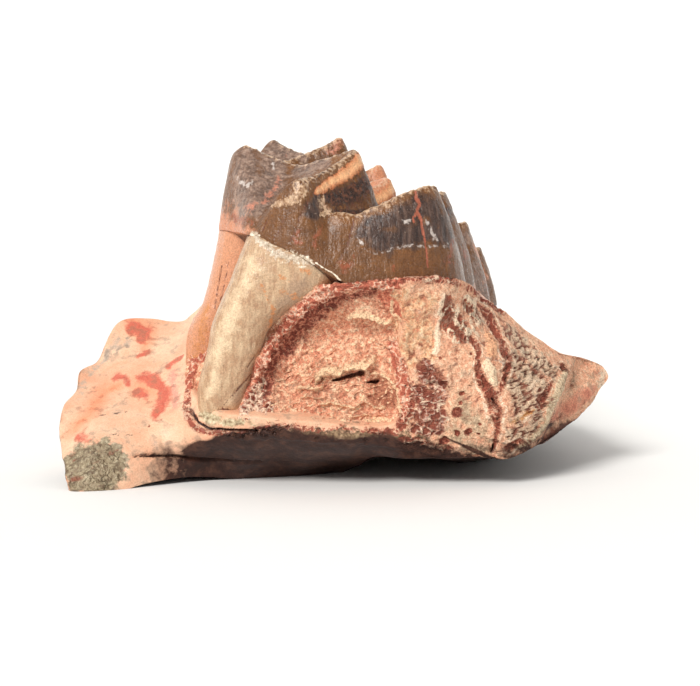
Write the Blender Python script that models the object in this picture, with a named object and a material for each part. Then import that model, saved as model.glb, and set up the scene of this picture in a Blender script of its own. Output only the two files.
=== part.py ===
"""Fossil oreodont jaw section: a broken upper jaw with three molars, lying with its chewing side up.

The broken rear end faces -Y, the cheek side is -X, the palate side is +X and the teeth point to +Z.
Places are in millimetres in the drawing frame: X from the middle of the rear tooth, Y back from the
broken face, Z up from the surface that the jaw lies on. MM turns them into metres.
"""
import math

import bmesh
import bpy
import numpy as np

JAW_WIDTH = 49.7
DRAWN_WIDTH = 49.7
MM = 0.001 * JAW_WIDTH / DRAWN_WIDTH
SOCKET_GAP = 0.3
CROWN_SOCKET_GAP = 0.5
NAME = "fossil_oreodont_jaw_section"

# The outline of the broken face as it is seen from behind the jaw, anticlockwise from the palate tip.
FACE_RIM = np.array([
    (23.5, 14.0, 9.2), (21.7, 13.0, 10.0), (19.1, 10.0, 10.9), (16.3, 9.0, 12.7), (13.6, 9.0, 15.0),
    (11.6, 6.0, 15.9), (9.3, 3.0, 17.3), (4.4, 5.0, 17.6), (-4.5, 9.0, 18.0), (-11.0, 14.0, 16.6),
    (-14.2, 14.0, 14.4), (-15.9, 16.0, 13.2), (-18.7, 16.0, 13.5), (-21.4, 15.0, 13.3),
    (-22.6, 13.0, 11.3), (-23.3, 12.0, 9.8), (-24.6, 10.0, 9.1), (-24.7, 8.0, 7.6), (-25.5, 6.0, 6.5),
    (-25.7, 4.0, 5.0), (-25.1, 1.0, 2.7), (-24.1, -2.0, -0.2), (-22.4, -2.2, -0.4), (-20.3, -1.4, -0.4),
    (-18.2, 0.0, 0.2), (-14.0, 3.0, 0.5), (-9.8, 5.0, 0.0), (-4.5, 7.0, -0.1), (0.0, 9.0, 0.2),
    (1.9, 3.0, 2.3), (4.4, 1.5, 2.4), (7.9, 1.0, 2.4), (11.3, 1.0, 2.6), (13.5, 1.0, 2.4),
    (15.9, 3.0, 3.0), (17.9, 6.0, 3.4), (20.5, 10.0, 4.7), (22.3, 12.0, 6.1), (23.1, 13.0, 7.1),
    (24.0, 14.0, 8.1)])
# Sections of the jaw further forward, each read at every second point of the rim: X and Z.
BEHIND_REAR_TOOTH = (20.0, np.array([
    (22.6, 8.2), (19.0, 9.8), (15.0, 12.5), (13.2, 14.6), (0.5, 19.4), (-9.0, 18.8), (-14.0, 13.0),
    (-18.2, 10.8), (-20.5, 8.3), (-21.3, 5.5), (-20.0, 2.2), (-17.0, 0.0), (-13.0, -0.4), (-8.0, -0.5),
    (-1.0, -0.5), (5.5, -0.5), (12.5, -0.4), (17.0, 1.8), (20.4, 4.4), (22.3, 6.4)]))
BEHIND_MIDDLE_TOOTH = (34.0, np.array([
    (21.0, 7.4), (18.6, 9.0), (16.4, 11.2), (14.2, 13.3), (4.6, 17.6), (-4.2, 17.6), (-8.6, 12.6),
    (-11.2, 9.8), (-12.8, 7.4), (-13.4, 5.0), (-12.8, 2.2), (-10.8, 0.2), (-7.5, -0.4), (-3.5, -0.5),
    (2.0, -0.5), (7.5, -0.5), (13.0, -0.4), (17.0, 1.8), (19.6, 4.0), (20.8, 5.8)]))
FRONT_BREAK = (48.0, np.array([
    (18.6, 6.6), (17.2, 8.2), (15.8, 10.2), (14.2, 12.2), (8.0, 14.8), (1.4, 14.8), (-3.0, 11.6),
    (-6.6, 9.2), (-8.2, 6.9), (-8.8, 4.8), (-8.3, 2.2), (-6.8, 0.2), (-4.6, -0.4), (-0.8, -0.4),
    (3.6, -0.4), (8.0, -0.4), (12.0, -0.2), (15.2, 1.8), (17.4, 4.0), (18.3, 5.5)]))
FACE_CENTRE = (-1.0, 8.5)
FRONT_CENTRE = (1.5, 46.9, 8.0)
# The underside has a trough along the tooth row: its middle in X at the rear and at the front break,
# its half width and its depth; the bone rests on the flat strips at both sides of it.
TROUGH_MIDDLE = (6.0, 1.0)
TROUGH_HALF_WIDTH = 5.6
TROUGH_DEPTH = (2.2, 3.4)
# The front break waves by BREAK_ROUGHNESS, this many radians to a millimetre in X and in Z.
BREAK_ROUGHNESS = 0.9
BREAK_WAVES = (0.8, 0.9)
# Depths of the broken face inside its outline: X, Z and then Y.
FACE_DEPTHS = np.array([
    (-12.5, 3.7, 0.9), (-9.0, 3.6, 0.6), (-4.2, 3.5, 0.4), (0.0, 3.1, 0.6), (4.0, 3.6, 0.4),
    (6.5, 15.2, 1.2), (8.0, 12.0, 0.5), (6.5, 8.0, 0.6), (9.5, 6.0, 0.2), (12.0, 4.4, 0.3),
    (9.0, 15.6, 1.7), (10.8, 13.4, 1.9), (11.6, 9.6, 0.9), (13.4, 11.6, 2.6), (13.2, 7.0, 0.5),
    (14.3, 13.6, 6.4), (16.0, 10.6, 5.4), (16.6, 7.6, 3.6), (15.0, 5.0, 1.2), (17.6, 5.6, 4.2),
    (19.6, 8.0, 8.0), (21.6, 8.4, 11.5), (-15.2, 12.0, 12.2), (-15.0, 8.4, 6.0), (-14.8, 5.2, 2.0),
    (-18.2, 11.8, 13.4), (-18.2, 8.8, 8.6), (-18.4, 5.8, 4.0), (-18.0, 2.8, 0.8), (-21.8, 10.0, 11.4),
    (-22.4, 6.2, 5.2), (-22.2, 3.4, 0.2), (-24.0, 4.4, 3.0), (-23.0, 1.4, -1.6), (-20.6, 1.4, -0.9),
    (-12.0, 1.8, 3.4), (-6.0, 1.6, 4.2), (-16.0, 2.0, 1.8), (-5.0, 12.0, 1.5), (-1.0, 8.5, 1.5)])

# The rear molar: the worn ridges of its chewing side, then the line where its crown meets the roots.
CHEEK_RIDGE = np.array([
    (-4.6, 0.3, 26.5), (-1.8, 3.1, 27.6), (0.4, 5.5, 29.2), (-2.2, 6.4, 28.4), (-4.8, 7.6, 27.9),
    (-7.2, 8.4, 28.7), (-9.4, 9.0, 29.6), (-6.8, 10.2, 28.2), (-3.6, 11.8, 29.0), (-0.9, 12.9, 30.3),
    (-3.6, 14.4, 28.8), (-7.2, 16.9, 29.4)])
REAR_CRESCENT = np.array([
    (-2.4, 0.9, 23.4), (-1.0, 0.7, 23.8), (0.6, 0.7, 23.6), (2.6, 1.0, 24.4), (4.6, 1.6, 25.3),
    (6.8, 2.9, 26.0), (7.4, 4.6, 25.5), (6.0, 7.2, 24.4), (3.0, 8.4, 23.4)])
FRONT_CRESCENT = np.array([
    (2.6, 9.6, 23.4), (5.8, 10.0, 24.4), (8.3, 11.9, 25.4), (8.0, 14.0, 24.9), (4.5, 16.0, 24.0),
    (-1.0, 16.8, 24.6), (-7.2, 16.9, 29.4)])
CRESCENTS = ((REAR_CRESCENT, (2.5, 4.7), (5.0, 4.0)), (FRONT_CRESCENT, (3.5, 13.2), (4.8, 3.4)))
NECK = np.array([
    (10.3, 6.2, 17.0), (9.9, 8.8, 17.0), (11.4, 12.6, 17.0), (9.4, 16.6, 17.4), (3.0, 18.2, 18.2),
    (-4.0, 18.4, 19.6), (-9.0, 17.4, 21.0), (-9.6, 13.2, 21.5), (-11.8, 9.3, 22.0),
    (-10.2, 5.2, 22.0), (-8.6, 1.4, 21.8), (-4.8, -0.8, 20.4), (-0.4, -1.1, 17.9),
    (5.0, -0.3, 17.2), (9.3, 2.3, 17.0)])
CROWN_CENTRE = (0.0, 8.5)
BASIN_FLOOR = 21.4
WORN_HALF_WIDTH = 0.3
WALL_START = 0.88
INNER_FALL = 1.7
STEEP_FALL = 2.6
CHEEK_FALL = 0.95
CROWN_UNDERCUT = 1.5
# Each root's sections from the crown down: middle X, middle Y, Z, half width in X, half width in Y.
REAR_CHEEK_ROOT = np.array([
    (-3.6, 3.1, 21.8, 5.3, 3.8), (-5.9, 2.6, 17.6, 4.7, 3.4), (-9.1, 2.4, 14.4, 2.8, 2.6),
    (-10.2, 2.5, 11.4, 2.35, 2.3), (-11.1, 2.7, 8.4, 2.25, 2.1), (-11.2, 3.0, 5.2, 2.0, 1.8)])
FRONT_CHEEK_ROOT = np.array([
    (-8.2, 10.2, 22.0, 3.6, 4.4), (-9.5, 9.6, 19.3, 2.8, 3.4), (-11.2, 9.2, 15.7, 2.0, 2.8),
    (-12.7, 9.0, 13.0, 1.9, 2.4), (-13.4, 9.0, 9.6, 1.5, 1.9), (-13.6, 9.0, 7.2, 1.0, 1.3)])
PALATE_ROOT = np.array([
    (5.2, 8.6, 18.6, 4.0, 5.0), (6.0, 8.6, 15.6, 3.2, 4.2), (7.0, 8.6, 12.4, 2.2, 3.2),
    (7.6, 8.6, 9.6, 1.3, 1.8)])
ROOTS = (REAR_CHEEK_ROOT, FRONT_CHEEK_ROOT, PALATE_ROOT)
ROOT_CAP = 0.12
ROOT_SQUARENESS = 0.8
ROOT_TIP_POWER = 0.6
# The other molars repeat the rear one: middle X, Y and Z of the crown's base, size, turn in degrees,
# height of the crown, and how far it drops to the palate side.
MIDDLE_TOOTH = (4.0, 27.4, 14.6, 0.9, -5.0, 0.98, 0.1)
FRONT_TOOTH = (7.8, 43.0, 13.2, 0.66, -8.0, 0.72, 0.06)
ROOT_HEIGHT = 0.8

# The red rock that fills the hollow between the roots: outline X and Z, anticlockwise from the right.
ROCK_OUTLINE = np.array([
    (5.0, 10.4), (4.6, 13.2), (4.9, 15.6), (4.6, 17.0), (1.0, 17.6), (-3.6, 17.4), (-8.0, 17.0),
    (-12.4, 15.6), (-14.0, 13.2), (-14.7, 10.2), (-14.4, 7.4), (-12.6, 6.0), (-9.2, 5.6),
    (-5.6, 5.0), (-2.0, 4.5), (1.6, 4.3), (4.2, 5.0), (5.0, 7.4)])
ROCK_CENTRE = (-4.0, 10.6)
ROCK_BACK = 11.5
HOLLOW_MOUTH = -4.0
ROCK_DEPTHS = np.array([
    (-9.4, 6.2, 0.6), (-5.0, 5.4, 0.5), (0.0, 4.8, 0.4), (3.6, 5.2, 0.6), (-7.4, 11.2, 1.2),
    (-4.6, 14.8, 1.0), (0.0, 16.6, 0.6), (3.6, 16.2, 1.0), (4.6, 12.6, 1.2), (4.8, 8.6, 0.9),
    (-6.0, 9.6, 3.0), (-4.6, 12.8, 3.4), (-1.4, 14.8, 3.0), (2.2, 13.6, 2.8), (-3.0, 10.4, 2.2),
    (0.6, 10.8, 2.0), (3.0, 10.0, 2.0), (-3.6, 7.4, 1.4), (0.4, 7.2, 1.6), (3.0, 7.0, 1.4),
    (-13.8, 12.0, 8.4), (-14.2, 8.0, 5.0), (-11.6, 6.6, 4.2), (-9.6, 15.0, 6.0)])
LEDGE_RISE = 1.45
LEDGE_STEP = 0.6
LEDGE_SWING = 0.5
LEDGE_WAVE = 0.9
LEDGE_FADE = 1.3
# Round pits of the spongy bone right of the rock: X, Y, Z and radius.
BONE_PITS = (
    (9.3, 0.2, 6.2, 0.55), (10.4, 0.2, 4.6, 0.42), (9.5, 0.3, 8.2, 0.36), (9.0, 0.4, 4.2, 0.36),
    (11.5, 0.4, 4.8, 0.3), (7.4, 0.5, 5.4, 0.5), (16.6, 3.0, 6.4, 0.5), (15.0, 1.6, 8.4, 0.42))
CRACK_ROUTE = ((11.3, 15.0, 1.8), (11.1, 12.6, 1.4), (11.3, 10.6, 0.9), (11.8, 9.2, 0.8),
               (12.9, 8.4, 0.9), (13.3, 7.2, 0.6), (13.4, 5.8, 0.5), (12.9, 4.6, 0.4), (12.5, 3.6, 0.5))
CRACK_WIDTHS = (0.3, 0.34, 0.4, 0.62, 0.6, 0.66, 0.5, 0.24, 0.18)

# How many strips each skin is laid out in: around, and from pole to pole.
JAW_GRID = (48, 24)
ROCK_GRID = (36, 20)
REAR_CROWN_GRID = (40, 22)
MIDDLE_CROWN_GRID = (26, 14)
FRONT_CROWN_GRID = (22, 12)
CROWN_SOCKET_GRID = (20, 12)
ROOT_GRID = (10, 8)


def read_loop(points, turn):
    """Closed smooth curve through rows of points, read where turn runs from 0 to 1 round it."""
    count = len(points)
    step = (turn % 1.0) * count
    first = np.floor(step).astype(int)
    part = (step - first)[:, None]
    before, here, after, beyond = (points[(first + shift) % count] for shift in (-1, 0, 1, 2))
    return 0.5 * (2 * here + (after - before) * part
                  + (2 * before - 5 * here + 4 * after - beyond) * part ** 2
                  + (3 * here - before - 3 * after + beyond) * part ** 3)


def read_line(stations, way):
    """Smooth curve through stations[0..n], each an array of rows, read where way runs from 0 to 1."""
    last = len(stations) - 1
    step = np.clip(way, 0.0, 1.0) * last
    first = np.minimum(np.floor(step).astype(int), last - 1)
    part = (step - first)[:, None]
    rows = np.arange(len(way))
    before, here, after, beyond = (stations[np.clip(first + shift, 0, last), rows]
                                   for shift in (-1, 0, 1, 2))
    return 0.5 * (2 * here + (after - before) * part
                  + (2 * before - 5 * here + 4 * after - beyond) * part ** 2
                  + (3 * here - before - 3 * after + beyond) * part ** 3)


def stretched_sheet(known):
    """Returns the depth Y of the thin stiff sheet that passes through all known rows of X, Z, Y."""
    places = known[:, :2]
    apart = np.hypot(*(places[:, None, :] - places[None, :, :]).transpose(2, 0, 1))
    bend = apart ** 2 * np.log(apart + 1e-9)
    flat = np.column_stack([np.ones(len(places)), places])
    system = np.block([[bend, flat], [flat.T, np.zeros((3, 3))]])
    weights = np.linalg.solve(system, np.concatenate([known[:, 2], np.zeros(3)]))

    def depth(spot):
        away = np.hypot(*(spot[:, None, :] - places[None, :, :]).transpose(2, 0, 1))
        spread = away ** 2 * np.log(away + 1e-9)
        return spread @ weights[:-3] + np.column_stack([np.ones(len(spot)), spot]) @ weights[-3:]

    return depth


def stone_material(name, colour, roughness):
    """One plain mineral finish."""
    material = bpy.data.materials.new(name)
    material.use_nodes = True
    shader = material.node_tree.nodes["Principled BSDF"]
    shader.inputs["Base Color"].default_value = (*colour, 1.0)
    shader.inputs["Roughness"].default_value = roughness
    shader.inputs["Metallic"].default_value = 0.0
    return material


def closed_skin(name, grid, shape, collection, grow=0.0):
    """A ball whose circles and poles are laid over shape(turn, fall), both from 0 to 1."""
    ball = bmesh.new()
    bmesh.ops.create_uvsphere(ball, u_segments=grid[0], v_segments=grid[1], radius=1.0)
    mesh = bpy.data.meshes.new(name)
    ball.to_mesh(mesh)
    ball.free()
    places = np.empty(len(mesh.vertices) * 3)
    mesh.vertices.foreach_get("co", places)
    places = places.reshape(-1, 3)
    turn = np.arctan2(places[:, 1], places[:, 0]) / math.tau
    fall = np.arccos(np.clip(places[:, 2], -1.0, 1.0)) / math.pi
    skin = shape(turn, fall)
    mesh.vertices.foreach_set("co", (skin * MM).ravel())
    mesh.update()
    if grow:
        outward = np.empty(len(mesh.vertices) * 3)
        mesh.vertices.foreach_get("normal", outward)
        mesh.vertices.foreach_set("co", (skin * MM).ravel() + outward * grow * MM)
        mesh.update()
    piece = bpy.data.objects.new(name, mesh)
    collection.objects.link(piece)
    return piece


def jaw_surface(turn, fall):
    """The broken face, then the sides carried forward along the tooth row, then the front break."""
    face_end, sides_end = 0.36, 0.8
    rim = read_loop(FACE_RIM, turn)
    known = np.vstack([FACE_RIM[:, (0, 2, 1)], FACE_DEPTHS])
    depth = stretched_sheet(known)
    reach = np.clip(fall / face_end, 0.0, 1.0)[:, None]
    spot = np.array(FACE_CENTRE) + (rim[:, (0, 2)] - FACE_CENTRE) * reach
    y = depth(spot) + (rim[:, 1] - depth(rim[:, (0, 2)])) * reach[:, 0] ** 4
    face = np.column_stack([spot[:, 0], y, spot[:, 1]])
    stations = [rim]
    for back, outline in (BEHIND_REAR_TOOTH, BEHIND_MIDDLE_TOOTH, FRONT_BREAK):
        ring = read_loop(outline, turn)
        stations.append(np.column_stack([ring[:, 0], np.full(len(turn), back), ring[:, 1]]))
    way = (fall - face_end) / (sides_end - face_end)
    sides = over_trough(read_line(np.array(stations), way))
    close = np.clip((fall - sides_end) / (1.0 - sides_end), 0.0, 1.0)[:, None]
    end = over_trough(stations[-1])
    end += (np.array(FRONT_CENTRE) - end) * close
    wave = np.sin(end[:, 0] * BREAK_WAVES[0]) * np.cos(end[:, 2] * BREAK_WAVES[1])
    end[:, 1] += BREAK_ROUGHNESS * wave * close[:, 0]
    skin = np.where((fall < sides_end)[:, None], sides, end)
    return np.where((fall < face_end)[:, None], over_trough(face), skin)


def over_trough(skin):
    """Lifts what is below the underside: rounded along the trough and flat beside it, where it rests."""
    along = np.clip(skin[:, 1] / FRONT_BREAK[0], 0.0, 1.0)
    middle = TROUGH_MIDDLE[0] + (TROUGH_MIDDLE[1] - TROUGH_MIDDLE[0]) * along
    depth = TROUGH_DEPTH[0] + (TROUGH_DEPTH[1] - TROUGH_DEPTH[0]) * along
    under = depth * np.maximum(1.0 - ((skin[:, 0] - middle) / TROUGH_HALF_WIDTH) ** 2, 0.0)
    return np.column_stack([skin[:, :2], np.maximum(skin[:, 2], under)])


def ridge_height(x, y, ridge, outside, inner_fall, outer_fall):
    """Height of a chewing side that falls evenly away from one ridge, at its own rate outside it."""
    height = np.full(len(x), BASIN_FLOOR)
    fall = np.where(outside(x, y), outer_fall, inner_fall)
    for start, stop in zip(ridge[:-1], ridge[1:]):
        run = stop[:2] - start[:2]
        along = ((x - start[0]) * run[0] + (y - start[1]) * run[1]) / (run @ run)
        along = np.clip(along, 0.0, 1.0)
        away = np.hypot(x - start[0] - along * run[0], y - start[1] - along * run[1])
        away = np.maximum(away - WORN_HALF_WIDTH, 0.0)
        height = np.maximum(height, start[2] + along * (stop[2] - start[2]) - fall * away)
    return height


def cheek_side(x, y):
    """Is a place on the cheek side of the zigzag ridge?"""
    return x < np.interp(y, CHEEK_RIDGE[:, 1], CHEEK_RIDGE[:, 0])


def beyond(centre, size):
    """Returns a test for places outside the ellipse round one crescent's basin."""
    return lambda x, y: np.hypot((x - centre[0]) / size[0], (y - centre[1]) / size[1]) > 1.0


def crown_surface(turn, fall):
    """Rear molar crown: chewing side from its middle out to the neck, then in below the neck."""
    neck_at = 0.72
    neck = read_loop(NECK, turn)
    reach = np.sin(np.clip(fall / neck_at, 0.0, 1.0) * math.pi / 2.0)
    x = CROWN_CENTRE[0] + (neck[:, 0] - CROWN_CENTRE[0]) * reach
    y = CROWN_CENTRE[1] + (neck[:, 1] - CROWN_CENTRE[1]) * reach
    top = ridge_height(x, y, CHEEK_RIDGE, cheek_side, STEEP_FALL, CHEEK_FALL)
    for ridge, basin, size in CRESCENTS:
        crest = ridge_height(x, y, ridge, beyond(basin, size), INNER_FALL, STEEP_FALL)
        top = np.maximum(top, crest)
    edge = np.clip((reach - WALL_START) / (1.0 - WALL_START), 0.0, 1.0)
    z = neck[:, 2] + (top - neck[:, 2]) * np.sqrt(1.0 - edge ** 2)
    under = np.clip((fall - neck_at) / (1.0 - neck_at), 0.0, 1.0)
    shrink = 1.0 - under ** 2
    x = np.where(fall > neck_at, CROWN_CENTRE[0] + (x - CROWN_CENTRE[0]) * shrink, x)
    y = np.where(fall > neck_at, CROWN_CENTRE[1] + (y - CROWN_CENTRE[1]) * shrink, y)
    z = np.where(fall > neck_at, z - (z - NECK[:, 2].min() + CROWN_UNDERCUT) * under, z)
    return np.column_stack([x, y, z])


def root_surface(sections):
    """Returns the surface of a root: rounded sections carried down its length, closed at both ends."""
    def shape(turn, fall):
        stations = np.repeat(sections[:, None, :], len(turn), axis=1)
        row = read_line(stations, (fall - ROOT_CAP) / (1.0 - 2.0 * ROOT_CAP))
        tip = np.clip(np.minimum(fall, 1.0 - fall) / ROOT_CAP, 0.0, 1.0) ** ROOT_TIP_POWER
        angle = turn * math.tau
        across = np.sign(np.cos(angle)) * np.abs(np.cos(angle)) ** ROOT_SQUARENESS
        deep = np.sign(np.sin(angle)) * np.abs(np.sin(angle)) ** ROOT_SQUARENESS
        return np.column_stack([row[:, 0] + row[:, 3] * across * tip,
                                row[:, 1] + row[:, 4] * deep * tip, row[:, 2]])
    return shape


def moved_tooth(surface, tooth):
    """Returns a rear molar surface shrunk, turned and set down at another tooth's place in the row."""
    if tooth is None:
        return surface
    x0, y0, z0, size, turned, tall, drop = tooth
    cosine, sine = math.cos(math.radians(turned)), math.sin(math.radians(turned))

    def shape(turn, fall):
        skin = surface(turn, fall)
        x, y = (skin[:, 0] - CROWN_CENTRE[0]) * size, (skin[:, 1] - CROWN_CENTRE[1]) * size
        base = NECK[:, 2].min()
        rise = np.where(skin[:, 2] > base, tall, ROOT_HEIGHT)
        return np.column_stack([x0 + x * cosine - y * sine, y0 + x * sine + y * cosine,
                                z0 + (skin[:, 2] - base) * rise - drop * x])

    return shape


def rock_block(turn, fall, front):
    """A block of the rock's outline: front(spot, reach) gives the depth of its face, its back is flat."""
    front_end, back_start = 0.6, 0.8
    outline = read_loop(ROCK_OUTLINE, turn)
    reach = np.clip(fall / front_end, 0.0, 1.0)[:, None]
    close = np.clip((1.0 - fall) / (1.0 - back_start), 0.0, 1.0)[:, None]
    spot = np.array(ROCK_CENTRE) + (outline - ROCK_CENTRE) * np.minimum(reach, close)
    way = np.clip((fall - front_end) / (back_start - front_end), 0.0, 1.0)
    y = front(spot, reach[:, 0])
    return np.column_stack([spot[:, 0], y + (ROCK_BACK - y) * way, spot[:, 1]])


def rock_surface(turn, fall):
    """The rock with the stepped ledges of its front."""
    depth = stretched_sheet(ROCK_DEPTHS)

    def front(spot, reach):
        level = (spot[:, 1] + LEDGE_SWING * np.sin(spot[:, 0] * LEDGE_WAVE)) / LEDGE_RISE
        inside = np.clip(LEDGE_FADE * (1.0 - reach ** 2), 0.0, 1.0)
        return depth(spot) - LEDGE_STEP * (0.5 - level % 1.0) * inside

    return rock_block(turn, fall, front)


def hollow_surface(turn, fall):
    """The hollow that holds the rock, open at the broken face."""
    return rock_block(turn, fall, lambda spot, reach: np.full(len(spot), HOLLOW_MOUTH))


def crack_cutter(collection):
    """A tube along the crack between the bone island and the palate, flattened where it is thin."""
    curve = bpy.data.curves.new("crack_route", "CURVE")
    curve.dimensions = "3D"
    curve.bevel_depth = 1.0 * MM
    curve.bevel_resolution = 1
    curve.use_fill_caps = True
    spline = curve.splines.new("POLY")
    spline.points.add(len(CRACK_ROUTE) - 1)
    for point, (x, z, y), width in zip(spline.points, CRACK_ROUTE, CRACK_WIDTHS):
        point.co = (x * MM, y * MM, z * MM, 1.0)
        point.radius = width
    route = bpy.data.objects.new("crack_route", curve)
    collection.objects.link(route)
    evaluated = route.evaluated_get(bpy.context.evaluated_depsgraph_get())
    mesh = bpy.data.meshes.new_from_object(evaluated)
    tube = bmesh.new()
    tube.from_mesh(mesh)
    bmesh.ops.remove_doubles(tube, verts=tube.verts, dist=1e-6)
    bmesh.ops.recalc_face_normals(tube, faces=tube.faces)
    tube.to_mesh(mesh)
    tube.free()
    cutter = bpy.data.objects.new("crack_cutter", mesh)
    collection.objects.link(cutter)
    bpy.data.objects.remove(route)
    return cutter


def pit_cutters(collection):
    """Small balls that leave the round pits of the spongy bone."""
    for number, (x, y, z, radius) in enumerate(BONE_PITS):
        ball = bmesh.new()
        bmesh.ops.create_icosphere(ball, subdivisions=1, radius=radius * MM)
        mesh = bpy.data.meshes.new(f"pit_{number}")
        ball.to_mesh(mesh)
        ball.free()
        cutter = bpy.data.objects.new(f"pit_{number}", mesh)
        cutter.location = (x * MM, y * MM, z * MM)
        collection.objects.link(cutter)


def boolean(piece, operation, other):
    """Joins piece to, or cuts it by, another object or every object of a collection."""
    modifier = piece.modifiers.new(operation.lower(), "BOOLEAN")
    modifier.operation = operation
    modifier.solver = "EXACT"
    if isinstance(other, bpy.types.Collection):
        modifier.operand_type = "COLLECTION"
        modifier.collection = other
    else:
        modifier.object = other


def hide_cutters(collection):
    """Cutters and joining shapes are shown as wires only."""
    for cutter in collection.objects:
        cutter.hide_render = True
        cutter.display_type = "WIRE"


def new_collection(name):
    """A collection of the scene with this name."""
    collection = bpy.data.collections.new(name)
    bpy.context.scene.collection.children.link(collection)
    return collection


def make_tooth(name, tooth, grid, fossil, sockets, enamel):
    """One molar: a crown with three roots as one body, and its slightly larger copy as the socket."""
    crown = closed_skin(name, grid, moved_tooth(crown_surface, tooth), fossil)
    crown.data.materials.append(enamel)
    closed_skin(f"{name}_crown_socket", CROWN_SOCKET_GRID, moved_tooth(crown_surface, tooth), sockets,
                grow=CROWN_SOCKET_GAP)
    joined = new_collection(f"{name}_roots")
    for number, sections in enumerate(ROOTS):
        shape = moved_tooth(root_surface(sections), tooth)
        root = closed_skin(f"{name}_root_{number}", ROOT_GRID, shape, joined)
        closed_skin(f"{name}_root_socket_{number}", ROOT_GRID, shape, sockets, grow=SOCKET_GAP)
        boolean(crown, "UNION", root)
    hide_cutters(joined)
    return crown


def stand_on_origin(fossil):
    """Hangs everything from one empty that brings the middle of the fossil's bounds over the origin."""
    corners = []
    for piece in fossil.objects:
        corners += [corner[:2] for corner in piece.bound_box]
    middle = (np.min(corners, axis=0) + np.max(corners, axis=0)) / 2.0
    hung = list(bpy.data.objects)
    placed = bpy.data.objects.new("drawing_frame", None)
    placed.location = (-middle[0], -middle[1], 0.0)
    bpy.context.scene.collection.objects.link(placed)
    for item in hung:
        item.parent = placed


def main():
    for item in list(bpy.data.objects):
        bpy.data.objects.remove(item)
    fossil = new_collection(NAME)
    sockets = new_collection("tooth_sockets")
    hollows = new_collection("bone_hollows")
    enamel = stone_material("brown_enamel", (0.20, 0.10, 0.045), 0.35)
    bone_colour = stone_material("cream_bone", (0.62, 0.42, 0.27), 0.6)
    rock_colour = stone_material("red_siltstone", (0.38, 0.13, 0.08), 0.9)

    make_tooth("rear_molar", None, REAR_CROWN_GRID, fossil, sockets, enamel)
    make_tooth("middle_molar", MIDDLE_TOOTH, MIDDLE_CROWN_GRID, fossil, sockets, enamel)
    make_tooth("front_molar", FRONT_TOOTH, FRONT_CROWN_GRID, fossil, sockets, enamel)

    rock = closed_skin("siltstone_matrix", ROCK_GRID, rock_surface, fossil)
    rock.data.materials.append(rock_colour)
    closed_skin("rock_hollow", ROCK_GRID, hollow_surface, hollows, grow=SOCKET_GAP)
    boolean(rock, "DIFFERENCE", sockets)

    bone = closed_skin("jaw_bone", JAW_GRID, jaw_surface, fossil)
    bone.data.materials.append(bone_colour)
    crack_cutter(hollows)
    pit_cutters(hollows)
    boolean(bone, "DIFFERENCE", hollows)
    boolean(bone, "DIFFERENCE", sockets)
    hide_cutters(sockets)
    hide_cutters(hollows)
    stand_on_origin(fossil)


main()
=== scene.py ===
import math

import bpy
import numpy as np
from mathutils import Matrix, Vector


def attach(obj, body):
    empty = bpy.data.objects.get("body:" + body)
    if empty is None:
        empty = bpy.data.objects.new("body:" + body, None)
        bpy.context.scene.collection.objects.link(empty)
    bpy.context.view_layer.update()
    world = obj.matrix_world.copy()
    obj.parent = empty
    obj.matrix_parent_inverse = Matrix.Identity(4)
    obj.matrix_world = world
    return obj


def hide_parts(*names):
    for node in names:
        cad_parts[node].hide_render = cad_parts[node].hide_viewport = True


# A broken piece of fossil upper jaw with three molars, lying with its chewing side up. All places are
# worked out in millimetres in the drawing frame: X from the middle of the rear tooth towards the palate,
# Y back from the broken face along the tooth row, Z up from the surface that the jaw lies on.
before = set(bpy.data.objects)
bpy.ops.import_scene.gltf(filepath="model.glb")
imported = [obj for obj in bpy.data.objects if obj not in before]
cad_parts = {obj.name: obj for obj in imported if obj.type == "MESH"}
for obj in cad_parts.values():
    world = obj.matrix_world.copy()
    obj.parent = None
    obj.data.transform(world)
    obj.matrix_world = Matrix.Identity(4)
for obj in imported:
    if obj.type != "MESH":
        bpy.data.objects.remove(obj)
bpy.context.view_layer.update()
MM = 0.001
DRAWN_MIDDLE = np.array([-0.722, 23.994, 0.0])

# The studio: a pale floor that sweeps up behind the fossil, one soft sun high on the left in front, and
# the eye a hand's breadth away, a little above the table, level with the broken face.
EYE_DOWN = math.radians(5.0)
EYE_TARGET = Vector(-DRAWN_MIDDLE * MM) + Vector((0.0, 0.0, 12.6 * MM))
EYE_DISTANCE = 0.192
SUN_FROM = Vector((-0.38, -0.70, 0.60))
SWEEP_START = 0.35
SWEEP_RADIUS = 0.3
look = Vector((0.0, math.cos(EYE_DOWN), -math.sin(EYE_DOWN)))
camera_data = bpy.data.cameras.new("camera")
camera_data.lens = 114.3
camera_data.sensor_width = 36.0
camera_data.clip_start = 0.01
camera = bpy.data.objects.new("camera", camera_data)
camera.location = EYE_TARGET - look * EYE_DISTANCE
camera.rotation_euler = look.to_track_quat("-Z", "Y").to_euler()
sun_data = bpy.data.lights.new("studio_key", "SUN")
sun_data.energy = 2.9
sun_data.angle = math.radians(24.0)
sun_data.color = (1.0, 0.975, 0.94)
sun = bpy.data.objects.new("studio_key", sun_data)
sun.rotation_euler = (-SUN_FROM).to_track_quat("-Z", "Y").to_euler()
world = bpy.data.worlds.new("room")
world.use_nodes = True
world.node_tree.nodes["Background"].inputs["Color"].default_value = (1.0, 0.99, 0.98, 1.0)
world.node_tree.nodes["Background"].inputs["Strength"].default_value = 0.42
sweep_turn = np.linspace(0.0, math.pi / 2.0, 25)
sweep_y = SWEEP_START + SWEEP_RADIUS * np.sin(sweep_turn)
sweep_y = np.concatenate([[-2.0], sweep_y, sweep_y[-1:]])
sweep_z = np.concatenate([[0.0], SWEEP_RADIUS - SWEEP_RADIUS * np.cos(sweep_turn), [2.0]])
sweep_x = np.array([-2.5, 2.5])
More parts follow.
